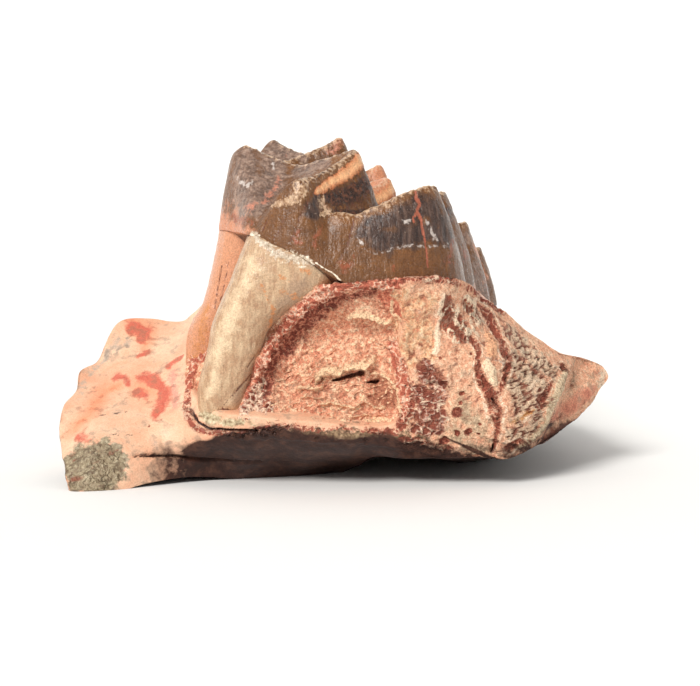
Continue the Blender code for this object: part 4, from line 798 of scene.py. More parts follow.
def ledge(places, line, rise, width):
    """Thin shelf along a line of X, Z: it stands out by rise at the line, fades over width above it and
    stops sharply below it: rise times (1 - height above / width)."""
    line = np.array(line)
    x, above = places[:, 0], places[:, 2] - np.interp(places[:, 0], line[:, 0], line[:, 1])
    fade = ease(x, line[0, 0], line[0, 0] + 0.5) * (1.0 - ease(x, line[-1, 0] - 0.5, line[-1, 0]))
    return rise * fade * ease(above, -0.05, 0.05) * np.clip(1.0 - above / width, 0.0, 1.0)


def cells(places, size, seed):
    """Distances to the nearest and the next of the points scattered one to each cube, in cube sides."""
    spot = places / size
    cell = np.floor(spot).astype(np.int64)
    nearest = np.full(len(places), 9.0)
    second = np.full(len(places), 9.0)
    for number in range(27):
        here = cell + np.array([number % 3 - 1, number // 3 % 3 - 1, number // 9 - 1])
        point = here + 0.5 + 0.5 * np.column_stack([dice(here, seed + turn) for turn in (1, 2, 3)])
        away = np.linalg.norm(spot - point, axis=1)
        second = np.minimum(second, np.maximum(nearest, away))
        nearest = np.minimum(nearest, away)
    return nearest, second


rock_falls = np.concatenate([np.linspace(0.0, FRONT_END, 158), np.linspace(0.71, BACK_START, 12),
                             np.linspace(0.88, 1.0, 5)])
rock_turn, rock_fall = spread(rock_falls, ROCK_TURNS)
rock_skin = rock_surface(rock_turn, rock_fall)
rock_normals = outward(rock_skin, ROCK_TURNS)
shifted = strayed(rock_skin, 41, 0.22, 0.10)
dark_band = trail(shifted, DARK_BAND, 0.2)
wide_maroon = [(*spot[:3], spot[3] + 0.3) for spot in LEFT_MAROON]
crust = trails(shifted, (ROCK_CRUST, wide_maroon, CLINGING_ROCK[0]), 0.2)
crust = np.maximum(crust, trail(shifted, RIGHT_MAROON))
speckled = trails(shifted, SPECKLED)
rock_hole = trails(strayed(rock_skin, 42, 0.10, 0.14), ROCK_HOLES, 0.1)
scoop, scoop_edge = trail(shifted, SCOOP, 0.1), trail(shifted, SCOOP_EDGE, 0.1)
cream_flake = trails(shifted, CREAM_FLAKES, 0.1)
shelves = np.sum([ledge(shifted, *one) for one in LEDGES], axis=0)
up_right = np.array([(0.87, 0.0, -0.5), (0.0, 1.0, 0.0), (0.5, 0.0, 0.87)])
flaking = (rock_skin[:, 2] - 0.25 * rock_skin[:, 0]) / FLAKE_STEP + 2.2 * grain(
    rock_skin @ up_right, 1.5, 56, 4, (1.6, 1.0, 1.0))
flake_part = flaking - np.floor(flaking)
inner = (1.0 - ease(dark_band, -0.4, 0.1)) * (1.0 - ease(crust, -0.3, 0.2))
inner *= ease(-rock_skin[:, 2], -14.5, -12.0)
flakes = 0.20 * inner * ease(grain(rock_skin, 2.2, 59, 2), -0.35, 0.25)
flakes *= ease(flake_part, 0.84, 1.0) - flake_part
nearest, second = cells(strayed(rock_skin, 43, 0.0, 0.12), 0.48, 51)
cell_rim = (second - nearest) * 3.0
rock_curls = worms(rock_skin, 0.62, 57, 0.30, 2)
rock_shape = 0.16 * grain(rock_skin, 1.6, 52, 3) + shelves + raised((
    (-0.30, scoop, 0.0, 0.5), (0.18, crust, 0.0, 0.6), (-0.30, dark_band, 0.0, 0.5)))
rock_fine = 0.10 * grain(rock_skin, 0.45, 53, 3) + flakes + 0.10 * (worms(rock_skin, 0.45, 58, 0.35, 2) - 0.4)
rock_fine += raised((
    (0.24, scoop_edge, 0.0, 0.6), (0.16 * (ease(0.55 - cell_rim, 0.0, 0.5) - 0.4), speckled, 0.0, 0.4),
    (0.22 * (rock_curls - 0.45), crust, -0.2, 0.4), (0.16 * (rock_curls - 0.5), dark_band, -0.2, 0.3),
    (0.12, cream_flake, 0.0, 0.5), (-0.70, rock_hole, 0.0, 0.5)))
rock_skin = rock_skin + rock_normals * (rock_shape + rock_fine)[:, None]
# Painted highlight along the lip just above each flake's edge.
flake_lip_highlight = ease(0.16 - flake_part, 0.0, 0.1) * inner
rock = {
    "dark_band": dark_band, "crust": crust, "speckled": speckled, "hole_shade": rock_hole, "scoop": scoop,
    # Cream flakes and the scoop's edge, with painted highlight on the tops of the ledges and on the flake
    # lips.
    "cream": np.max([cream_flake, scoop_edge, shelves * 2.8 - 0.6, flake_lip_highlight * 0.8 - 0.15], axis=0),
    "cell_rim": 1.0 - cell_rim, "relief_shading": np.clip(0.5 - rock_fine / 0.30, 0.0, 1.0),
    "salmon": trail(shifted, SALMON_TOP), "peach": trail(shifted, PEACH_TOP)}
rock_paint, tree, spot, (broad, middling, fine, grit), curled = stone_paint("red_siltstone")
peach = blended(tree, broad, tone(241, 182, 147), tone(233, 163, 129))
peach = (peach, middling, 0.6, (222, 144, 114), (252, 208, 172))
colour = painted(tree, shade(tree, (peach, fine, 0.8, (194, 116, 90), (255, 224, 190))), (
    ("peach", middling, 0.8, -0.1, 0.5, ((236, 184, 142), fine, 0.9, (196, 120, 92), (250, 218, 180))),
    ("scoop", middling, 0.6, 0.0, 0.5, ((186, 120, 92), fine, 0.7, (136, 80, 60), (214, 152, 118))),
    ("salmon", middling, 0.8, 0.0, 0.5, ((212, 122, 94), fine, 0.8, (150, 74, 56), (240, 170, 138))),
    ("dark_band", middling, 0.8, -0.1, 0.35, ((170, 96, 74), curled, 0.8, (114, 54, 42), (228, 158, 130))),
    ("crust", middling, 0.6, -0.1, 0.2, ((234, 156, 126), curled, 0.95, (186, 100, 78), (255, 224, 198))),
    ("speckled", middling, 0.5, -0.1, 0.3, (150, 78, 60)),
    ("cell_rim", fine, 0.5, 0.1, 0.6, (250, 216, 190), marked(tree, "speckled", middling, 0.5, -0.1, 0.3)),
    # Cream flakes and scoop edge, plus painted highlight on ledge tops and flake lips.
    ("cream", fine, 0.8, 0.1, 0.7, (252, 214, 174)),
    # Painted shade in the hollows of the fine relief.
    ("relief_shading", fine, 0.2, 0.86, 1.1, (128, 66, 50), 0.60),
    # Painted shade inside the sunken holes.
    ("hole_shade", fine, 0.7, 0.1, 0.7, (104, 52, 38))))
height = joined(tree, "ADD", product(tree, curled, 0.35), product(tree, fine, 0.6))
shader = finish_paint(tree, colour, height, 0.20, grit, 0.8)
shader.inputs["Roughness"].default_value = 0.85
piece("siltstone_fossil", [grid_mesh(rock_skin, ROCK_TURNS, rock)], rock_paint, "siltstone_matrix")

# The rear molar: worn brown enamel in crescents round orange dentine, on long cream roots. Dark stain
# has soaked into the palate-side cusp, and hairline cracks run down from the worn ridges.
CHEEK_RIDGE = np.array([
    (-4.5, 0.3, 26.4), (-1.8, 3.1, 27.6), (0.4, 5.5, 29.2), (-2.2, 6.4, 28.4), (-4.8, 7.6, 27.9),
    (-7.2, 8.4, 28.7), (-9.4, 9.0, 29.6), (-6.8, 10.2, 28.2), (-3.6, 11.8, 29.0), (-0.9, 12.9, 30.3),
    (-3.6, 14.4, 28.8), (-7.2, 16.9, 30.1)])
REAR_CRESCENT = np.array([
    (-2.4, 0.9, 23.4), (-1.0, 0.7, 23.9), (0.6, 0.7, 23.7), (2.6, 1.0, 24.5), (4.6, 1.6, 25.4),
    (6.9, 2.9, 26.1), (7.4, 4.6, 25.5), (6.0, 7.2, 24.4), (3.0, 8.4, 23.4)])
FRONT_CRESCENT = np.array([
    (2.6, 9.6, 23.4), (5.8, 10.0, 24.4), (8.3, 11.9, 25.4), (8.0, 14.0, 24.9), (4.5, 16.0, 24.0),
    (-1.0, 16.8, 24.6), (-7.2, 16.9, 30.1)])
CRESCENTS = ((REAR_CRESCENT, (2.5, 4.7), (5.0, 4.0)), (FRONT_CRESCENT, (3.5, 13.2), (4.8, 3.4)))
NEAR_CUSP = (-5.6, 1.5, 0.55, 1.5)
WORN_HALF_WIDTH = 0.25
NECK = np.array([
    (10.3, 6.2, 17.0), (9.9, 8.8, 17.0), (11.4, 12.6, 17.0), (9.4, 16.6, 17.4), (3.0, 18.2, 18.2),
    (-4.0, 18.4, 19.6), (-9.0, 17.4, 21.0), (-9.6, 13.2, 21.5), (-11.8, 9.3, 22.0), (-10.2, 5.2, 22.0),
    (-8.6, 1.4, 21.8), (-4.8, -0.8, 20.4), (-0.4, -1.1, 17.9), (5.0, -0.3, 17.2), (9.3, 2.3, 17.0)])
NECKLINE = np.array([
    (-12.5, 22.2), (-10.2, 22.1), (-8.6, 21.9), (-6.9, 20.7), (-4.8, 20.2), (-3.3, 19.9), (-1.7, 18.8),
    (-0.4, 17.9), (5.0, 17.2), (12.0, 17.0)])
CROWN_CENTRE = np.array([0.0, 8.5])
BASIN_FLOOR = 21.4
CROWN_END = 0.8
REAR_CHEEK_ROOT = np.array([
    (-3.6, 3.1, 21.8, 5.3, 3.8), (-5.9, 2.6, 17.6, 4.7, 3.4), (-9.1, 2.4, 14.4, 2.8, 2.6),
    (-10.2, 2.5, 11.4, 2.35, 2.3), (-11.1, 2.7, 8.4, 2.25, 2.1), (-11.2, 3.0, 5.2, 2.0, 1.8)])
FRONT_CHEEK_ROOT = np.array([
    (-8.2, 10.2, 22.0, 3.6, 4.4), (-9.5, 9.6, 19.3, 2.8, 3.4), (-11.2, 9.2, 15.7, 2.0, 2.8),
    (-12.7, 9.0, 13.0, 1.9, 2.4), (-13.4, 9.0, 9.6, 1.5, 1.9), (-13.6, 9.0, 7.2, 1.0, 1.3)])
PALATE_ROOT = np.array([
    (5.2, 8.6, 18.6, 4.0, 5.0), (6.0, 8.6, 15.6, 3.2, 4.2), (7.0, 8.6, 12.4, 2.2, 3.2),
    (7.6, 8.6, 9.6, 1.3, 1.8)])
CHART_STEP = 0.08
CHART_X = np.arange(-14.0, 14.0, CHART_STEP)
CHART_Y = np.arange(-4.0, 21.0, CHART_STEP)
CHART_BLUR = 0.13


def ridge_height(spot, ridge, fall):
    """Height that falls evenly away from a ridge, the highest over all points of its smooth line:
    point height - fall x distance past the worn half width. Also gives the distance to the ridge."""
    height = np.full(len(spot), BASIN_FLOOR)
    nearest = np.full(len(spot), 99.0)
    for px, py, pz in read_line(np.repeat(ridge[:, None, :], 90, axis=1), np.linspace(0.0, 1.0, 90)):
        away = np.hypot(spot[:, 0] - px, spot[:, 1] - py)
        nearest = np.minimum(nearest, away)
        height = np.maximum(height, pz - fall * np.maximum(away - WORN_HALF_WIDTH, 0.0))
    return height, nearest


def softened(chart, reach):
    """Gaussian blur of a chart: its spectrum times exp(-2 pi2 reach2 f2)."""
    across = np.fft.fftfreq(chart.shape[0], CHART_STEP)[:, None]
    along = np.fft.rfftfreq(chart.shape[1], CHART_STEP)[None, :]
    keep = np.exp(-2.0 * math.pi ** 2 * reach ** 2 * (across ** 2 + along ** 2))
    return np.fft.irfft2(np.fft.rfft2(chart) * keep, s=chart.shape)


def read_chart(chart, spot):
    """Value of a chart at X, Y, blended between its four nearest points."""
    across = np.clip((spot[:, 0] - CHART_X[0]) / CHART_STEP, 0, len(CHART_X) - 1.001)
    along = np.clip((spot[:, 1] - CHART_Y[0]) / CHART_STEP, 0, len(CHART_Y) - 1.001)
    i, j = np.floor(across).astype(int), np.floor(along).astype(int)
    u, v = across - i, along - j
    return (chart[i, j] * (1 - u) * (1 - v) + chart[i + 1, j] * u * (1 - v)
            + chart[i, j + 1] * (1 - u) * v + chart[i + 1, j + 1] * u * v)


chart_spots = np.stack(np.meshgrid(CHART_X, CHART_Y, indexing="ij"), axis=-1).reshape(-1, 2)
chart_x, chart_y = chart_spots.T
cheek_side = chart_x < np.interp(chart_y, CHEEK_RIDGE[:, 1], CHEEK_RIDGE[:, 0])
chewing, ridge_away = ridge_height(chart_spots, CHEEK_RIDGE, np.where(cheek_side, 0.95, 2.6))
for ridge, basin, size in CRESCENTS:
    beyond = np.hypot((chart_x - basin[0]) / size[0], (chart_y - basin[1]) / size[1]) > 1.0
    crest, away = ridge_height(chart_spots, ridge, np.where(beyond, 2.6, 1.7))
    chewing = np.maximum(chewing, crest)
    ridge_away = np.minimum(ridge_away, away)
cusp_x, cusp_y, cusp_rise, cusp_width = NEAR_CUSP
chewing = chewing + cusp_rise * np.exp(-((chart_x - cusp_x) ** 2 + (chart_y - cusp_y) ** 2) / cusp_width ** 2)
chewing = softened(chewing.reshape(len(CHART_X), len(CHART_Y)), CHART_BLUR)
ridge_away = ridge_away.reshape(len(CHART_X), len(CHART_Y))


def crown_surface(turn, fall):
    """Chewing side from the middle out, with the chart's height; near the edge it drops to the neck as
    neck + (top - neck) x (1 - edge^1.6); past CROWN_END it turns inwards below the neck and closes."""
    neck = read_loop(NECK, turn)
    reach = np.sin(np.clip(fall / CROWN_END, 0.0, 1.0) * math.pi / 2.0)
    spot = CROWN_CENTRE + (neck[:, :2] - CROWN_CENTRE) * reach[:, None]
    top = read_chart(chewing, spot)
    edge = np.clip((reach - 0.88) / 0.12, 0.0, 1.0)
    z = neck[:, 2] + (top - neck[:, 2]) * (1.0 - edge ** 1.6)
    under = np.clip((fall - CROWN_END) / (1.0 - CROWN_END), 0.0, 1.0)
    spot = CROWN_CENTRE + (spot - CROWN_CENTRE) * (1.0 - 0.15 * under ** 0.5 - 0.85 * under ** 2)[:, None]
    z = z - (z - NECK[:, 2].min() + 1.5) * under ** 1.2
    return np.column_stack([spot, z])


def squared(wave):
    """A cosine or sine to the power 0.8 with its sign kept, which squares a round section a little."""
    return np.sign(wave) * np.abs(wave) ** 0.8


def root_surface(sections, turn, fall):
    """Slightly squared round sections carried down the root. Above the neck of the crown the front leans
    back into the tooth."""
    row = read_line(np.repeat(sections[:, None, :], len(turn), axis=1), (fall - 0.1) / 0.8)
    tip = np.minimum(np.clip(fall / 0.1, 0.0, 1.0), np.clip((1.0 - fall) / 0.1, 0.0, 1.0)) ** 0.6
    angle = turn * math.tau
    skin = np.column_stack([row[:, 0] + row[:, 3] * squared(np.cos(angle)) * tip,
                            row[:, 1] + row[:, 4] * squared(np.sin(angle)) * tip, row[:, 2]])
    over = np.maximum(skin[:, 2] - np.interp(skin[:, 0], NECKLINE[:, 0], NECKLINE[:, 1]), 0.0)
    for axis, lean in ((1, 0.9), (0, 0.6)):
        skin[:, axis] += np.where(skin[:, axis] < row[:, axis], lean, -lean) * np.minimum(over, 2.5)
    return skin


ENAMEL_CRACKS = (
    ((0.4, 0.3, 23.4, 0.1), (0.2, 0.0, 22.6, 0.11), (0.0, -0.2, 21.8, 0.13), (-0.3, -0.6, 20.8, 0.11),
     (-0.9, -0.9, 19.9, 0.1), (-1.4, -1.1, 19.2, 0.09)),
    ((-3.4, 0.4, 25.3, 0.11), (-3.8, -0.2, 24.3, 0.12), (-4.4, -0.5, 23.4, 0.12), (-4.6, -0.6, 22.6, 0.1),
     (-4.9, -0.7, 21.9, 0.11), (-5.2, -0.7, 21.3, 0.08)),
    ((-5.6, -0.2, 23.6, 0.08), (-6.0, -0.2, 22.5, 0.1), (-6.5, -0.2, 21.6, 0.08)),
    ((-6.8, 0.5, 23.7, 0.07), (-7.2, 0.7, 23.0, 0.08), (-7.6, 0.7, 22.2, 0.07)))
RED_CRACKS = (
    ((5.7, 1.9, 25.6, 0.16), (5.7, 1.7, 25.1, 0.23), (6.0, 1.6, 24.6, 0.21), (5.8, 1.3, 23.9, 0.19),
     (6.1, 1.2, 23.4, 0.16), (6.2, 1.1, 22.6, 0.14), (6.4, 0.9, 21.6, 0.13), (6.6, 0.8, 20.4, 0.12),
     (6.7, 0.7, 19.2, 0.1)), ((5.8, 1.3, 23.9, 0.16), (5.4, 0.9, 23.3, 0.14), (5.5, 0.8, 22.9, 0.1)))
ENAMEL_LINES = (
    ((-3.9, 1.3, 26.5, 0.08), (-3.2, 2.4, 26.9, 0.09), (-2.5, 3.4, 27.4, 0.09), (-1.6, 4.3, 28.1, 0.09),
     (-0.6, 5.0, 28.9, 0.08)),
    ((-7.7, 2.4, 23.9, 0.09), (-7.0, 2.6, 24.6, 0.1), (-6.3, 2.6, 25.4, 0.1), (-5.4, 2.0, 26.1, 0.11),
     (-4.4, 0.9, 26.5, 0.09)),
    ((-5.8, 8.4, 28.3, 0.08), (-5.0, 7.8, 28.0, 0.09), (-4.2, 7.3, 27.9, 0.09), (-3.4, 6.9, 28.0, 0.08)))
WHITE_WISPS = (
    ((0.6, -0.2, 21.7, 0.13), (0.9, -0.3, 21.4, 0.16), (1.2, -0.5, 20.9, 0.15), (1.6, -0.6, 20.5, 0.15),
     (2.1, -0.6, 20.3, 0.15), (2.8, -0.4, 20.4, 0.15), (3.5, -0.3, 20.7, 0.14), (4.7, 0.1, 20.9, 0.18),
     (5.5, 0.4, 21.1, 0.18), (6.2, 0.7, 20.9, 0.13), (7.5, 1.4, 20.9, 0.14)),
    ((4.6, 0.6, 23.1, 0.18), (4.9, 0.6, 22.9, 0.22), (5.3, 0.8, 23.3, 0.16)),
    ((6.5, 1.4, 23.2, 0.14), (6.8, 1.4, 22.6, 0.19), (7.0, 1.4, 22.1, 0.23), (7.3, 1.4, 21.6, 0.26),
     (7.5, 1.6, 21.4, 0.2)), ((8.1, 1.9, 20.8, 0.2), (8.4, 2.2, 21.1, 0.2), (8.6, 2.2, 20.5, 0.16)),
    ((-9.9, 6.3, 26.7, 0.22), (-9.6, 5.7, 26.4, 0.3), (-9.1, 5.0, 26.0, 0.3), (-8.6, 5.3, 26.3, 0.22)),
    ((-6.9, 7.5, 28.1, 0.18), (-6.8, 6.9, 27.5, 0.16)))
NECK_EDGES = (
    ((-8.5, 1.4, 21.9, 0.09), (-7.6, 0.1, 21.0, 0.1), (-6.9, -0.3, 20.4, 0.1), (-6.3, -0.5, 20.0, 0.1)),
    ((-6.3, -0.6, 19.2, 0.1), (-5.8, -0.6, 19.6, 0.11), (-5.2, -0.7, 19.8, 0.1)),
    ((-4.3, -0.7, 19.2, 0.1), (-3.8, -0.8, 19.3, 0.12), (-3.3, -1.0, 19.6, 0.1)),
    ((-3.0, -1.0, 19.6, 0.09), (-2.4, -1.1, 19.2, 0.1), (-1.7, -1.1, 18.8, 0.1), (-0.8, -1.1, 18.1, 0.09)))
CRYSTAL = ((-2.6, 0.2, 23.7, 0.17), (-2.2, 0.4, 23.8, 0.28), (-1.7, 1.0, 24.0, 0.17))
ORANGE_BAND = (
    (-2.9, 0.9, 25.6, 0.3), (-2.4, 1.4, 25.9, 0.42), (-1.6, 2.3, 26.4, 0.56), (-0.7, 3.2, 26.9, 0.62),
    (0.2, 4.2, 27.5, 0.7), (0.9, 5.1, 28.1, 0.7), (0.9, 5.4, 28.6, 0.62))
CREST = (
    (-1.8, 0.7, 23.7, 0.15), (-1.3, 0.9, 23.9, 0.17), (-0.4, 0.9, 23.9, 0.15), (0.5, 0.7, 23.8, 0.15),
    (1.4, 0.8, 24.0, 0.19), (2.6, 1.0, 24.5, 0.2), (3.6, 1.2, 24.9, 0.26), (4.6, 1.6, 25.4, 0.24),
    (5.8, 2.2, 25.8, 0.2), (6.9, 2.9, 26.1, 0.16))
CROWN_LOOSE = {
    "dark": (
        ((1.6, 0.2, 22.9, 0.6), (2.8, 0.3, 23.0, 0.8), (4.3, 0.6, 23.3, 1.0), (6.1, 1.4, 24.2, 1.3),
         (7.4, 2.2, 24.2, 1.0)),
        ((1.0, -0.2, 22.1, 0.5), (2.4, -0.1, 21.6, 1.1), (5.2, 0.3, 21.9, 1.1), (6.9, 1.2, 22.0, 1.1),
         (8.2, 2.2, 22.0, 0.9)), ((7.8, 2.3, 23.2, 0.9), (8.6, 2.4, 21.4, 0.7)),
        ((-2.9, 0.7, 25.3, 0.36), (-3.2, 0.0, 24.4, 0.5), (-2.8, 0.1, 23.8, 0.42),
         (-3.4, -0.3, 23.7, 0.4))),
    "rust": (
        ((-2.3, 0.9, 24.8, 0.17), (-2.2, 0.8, 24.4, 0.26), (-1.9, 0.8, 24.1, 0.22)),
        ((-4.5, -0.7, 22.2, 0.34), (-4.8, -0.7, 21.6, 0.34), (-4.3, -0.8, 21.3, 0.3)),
        ((-2.5, -0.2, 22.7, 0.26), (-2.9, -0.7, 21.9, 0.34), (-3.2, -0.9, 21.1, 0.39),
         (-2.7, -0.9, 20.8, 0.34)),
        ((-0.9, -1.0, 19.6, 0.34), (-0.5, -1.0, 19.0, 0.43), (0.0, -0.9, 19.5, 0.34),
         (0.3, -0.8, 20.0, 0.26)),
        ((8.9, 3.4, 21.4, 0.26), (8.6, 2.1, 20.0, 0.35), (8.3, 1.8, 19.6, 0.35), (9.1, 2.5, 19.5, 0.26)),
        ((2.1, -0.8, 18.7, 0.26), (2.4, -0.8, 18.8, 0.26)),
        ((3.7, -0.5, 19.4, 0.17), (3.9, -0.5, 18.8, 0.17)),
        ((-10.4, 5.6, 23.3, 0.53), (-9.3, 3.1, 23.0, 0.61), (-8.7, 2.0, 22.8, 0.44)),
        ((9.9, 12.0, 20.6, 0.5), (10.4, 11.0, 19.4, 0.6)),
        ((8.6, 13.4, 23.6, 0.5), (9.0, 12.8, 22.6, 0.4))),
    "gold": (
        ((-1.3, 0.3, 23.3, 0.52), (-0.4, 0.3, 23.3, 0.6), (0.7, 0.2, 23.0, 0.34), (1.7, 0.4, 23.5, 0.4),
         (2.9, 0.5, 23.9, 0.4), (4.0, 0.8, 24.4, 0.46), (5.0, 1.3, 24.9, 0.46), (5.7, 1.8, 25.5, 0.4),
         (6.6, 2.3, 25.7, 0.3)),
        ((-0.3, 12.8, 29.0, 0.37), (-0.9, 5.2, 28.6, 0.53), (-1.6, 5.3, 28.2, 0.53), (-2.3, 5.2, 27.6, 0.53),
         (-3.1, 4.9, 27.0, 0.44))),
    # Painted shade on the shadowed basin wall below the orange band.
    "dark_wall": (
        ((-2.0, 1.4, 25.0, 0.5), (-1.2, 2.1, 25.1, 0.85), (-0.3, 2.9, 25.2, 1.0), (0.5, 3.7, 25.6, 1.0),
         (1.3, 4.4, 26.1, 0.8)), ((-3.2, 1.6, 26.7, 0.2), (-2.6, 2.6, 27.1, 0.3), (-1.9, 3.4, 27.5, 0.3))),
    "grey": (
        ((-9.3, 6.9, 28.3, 1.5), (-9.2, 4.9, 26.2, 1.8), (-9.4, 4.0, 24.4, 1.4)),
        ((-6.7, 6.7, 27.6, 1.5), (-7.5, 4.5, 25.5, 1.4), (-8.2, 3.0, 24.0, 0.9)),
        ((-4.4, 6.2, 27.6, 1.1), (-2.2, 5.4, 28.2, 0.7)),
        ((-6.8, 15.0, 29.4, 1.6), (-4.0, 13.0, 28.6, 1.0))),
    "pink": (
        ((-6.4, 6.3, 26.9, 0.3), (-6.5, 5.5, 26.1, 0.4), (-6.9, 4.8, 25.5, 0.44), (-7.4, 4.2, 25.0, 0.44),
         (-7.7, 3.6, 24.5, 0.35)), ((-9.1, 3.7, 24.3, 0.35), (-8.4, 3.5, 24.5, 0.4), (-8.7, 3.1, 24.0, 0.44)),
        ((-6.0, 15.0, 28.7, 0.22),),
        ((-2.2, 12.2, 28.8, 0.4), (-1.6, 12.2, 29.2, 0.8), (-1.0, 12.6, 30.1, 0.7))),
    "peach": (
        ((-11.3, 6.9, 21.9, 2.2), (-10.1, 5.0, 21.6, 2.0), (-9.2, 3.0, 21.6, 1.2)),
        ((-11.4, 8.6, 20.8, 1.4), (-10.6, 6.4, 20.0, 1.4))),
    "pale": (
        ((-4.0, 0.6, 26.0, 0.5), (-4.3, 0.0, 25.4, 0.55), (-5.0, -0.1, 25.0, 0.5), (-5.8, 0.2, 24.6, 0.34),
         (-6.6, 0.7, 24.2, 0.2)),),
    "flakes": (
        ((-8.4, 1.2, 22.0, 0.26), (-7.6, 0.2, 21.3, 0.32), (-6.9, -0.3, 20.7, 0.42), (-6.0, -0.5, 20.3, 0.44),
         (-5.1, -0.7, 20.1, 0.42), (-4.1, -0.9, 19.9, 0.38), (-3.3, -1.1, 19.6, 0.3)),)}
ROOT_GROOVES = (
    ((-8.1, 3.6, 10.3, 0.1), (-8.7, 1.6, 9.6, 0.1), (-9.6, 0.9, 8.7, 0.11), (-10.4, 0.9, 7.8, 0.1),
     (-11.1, 0.9, 6.9, 0.09)), ((-6.0, 0.0, 15.6, 0.07), (-7.4, 0.8, 12.6, 0.08), (-8.9, 0.8, 10.4, 0.08)),
    ((-11.4, 6.7, 18.9, 0.1), (-11.8, 6.7, 16.9, 0.1), (-12.1, 6.6, 15.1, 0.1)),
    ((-10.8, 6.5, 19.3, 0.08), (-11.3, 6.5, 16.8, 0.08), (-11.9, 6.5, 14.5, 0.08)))
ROOT_END_DARK = (
    (-11.8, 1.1, 6.6, 0.1), (-10.8, 1.0, 6.7, 0.12), (-9.8, 1.3, 6.4, 0.12), (-8.7, 0.4, 6.3, 0.1))
ROOT_LOOSE = {
    "rust": (
        ((-5.8, -0.5, 17.1, 0.34), (-4.6, -0.1, 16.6, 0.34), (-3.5, 0.9, 16.6, 0.26)),
        ((-7.6, -0.5, 17.7, 0.22), (-7.0, -0.6, 16.7, 0.22), (-6.6, -0.1, 15.5, 0.22),
         (-7.0, 1.1, 13.6, 0.22)), ((-4.3, -0.7, 19.0, 0.26), (-3.3, -0.9, 18.8, 0.26)),
        ((-6.0, -0.7, 18.5, 0.26), (-5.2, -0.7, 18.1, 0.17)),
        ((-12.7, 6.7, 15.4, 0.4), (-13.1, 6.8, 13.4, 0.6), (-13.6, 7.0, 11.4, 0.7),
         (-13.9, 7.0, 10.0, 0.6))),
    # Painted light: the root's right part is painted greyer as shade, and its left flank paler as a
    # highlight.
    "root_shaded_side": (
        ((-4.3, -0.4, 17.6, 1.2), (-5.6, 0.4, 15.4, 1.1), (-6.5, 1.1, 14.1, 0.9), (-7.7, 2.6, 11.7, 0.8),
         (-8.7, 1.5, 9.7, 0.8), (-9.6, 1.1, 7.5, 0.7)),),
    "root_lit_side": (
        ((-8.4, -0.2, 19.4, 0.8), (-9.4, 0.0, 17.0, 0.9), (-10.6, 0.2, 14.0, 0.9), (-11.4, 0.4, 11.0, 0.8),
         (-12.2, 0.8, 8.0, 0.6)),),
    "root_end": (
        ((-12.8, 1.7, 6.2, 0.44), (-11.8, 1.2, 6.0, 0.44), (-10.5, 1.2, 5.9, 0.44),
         (-9.1, 0.4, 5.8, 0.43)),)}
TOOTH_MARKS = (
    "ridge", "dark", "wisp", "pale", "rust", "dentine", "dark_wall", "grey", "pink", "peach", "gold", "line",
    "crack", "red_crack", "low", "flakes", "white_edge", "root_shaded_side", "root_lit_side", "root_end", "root")


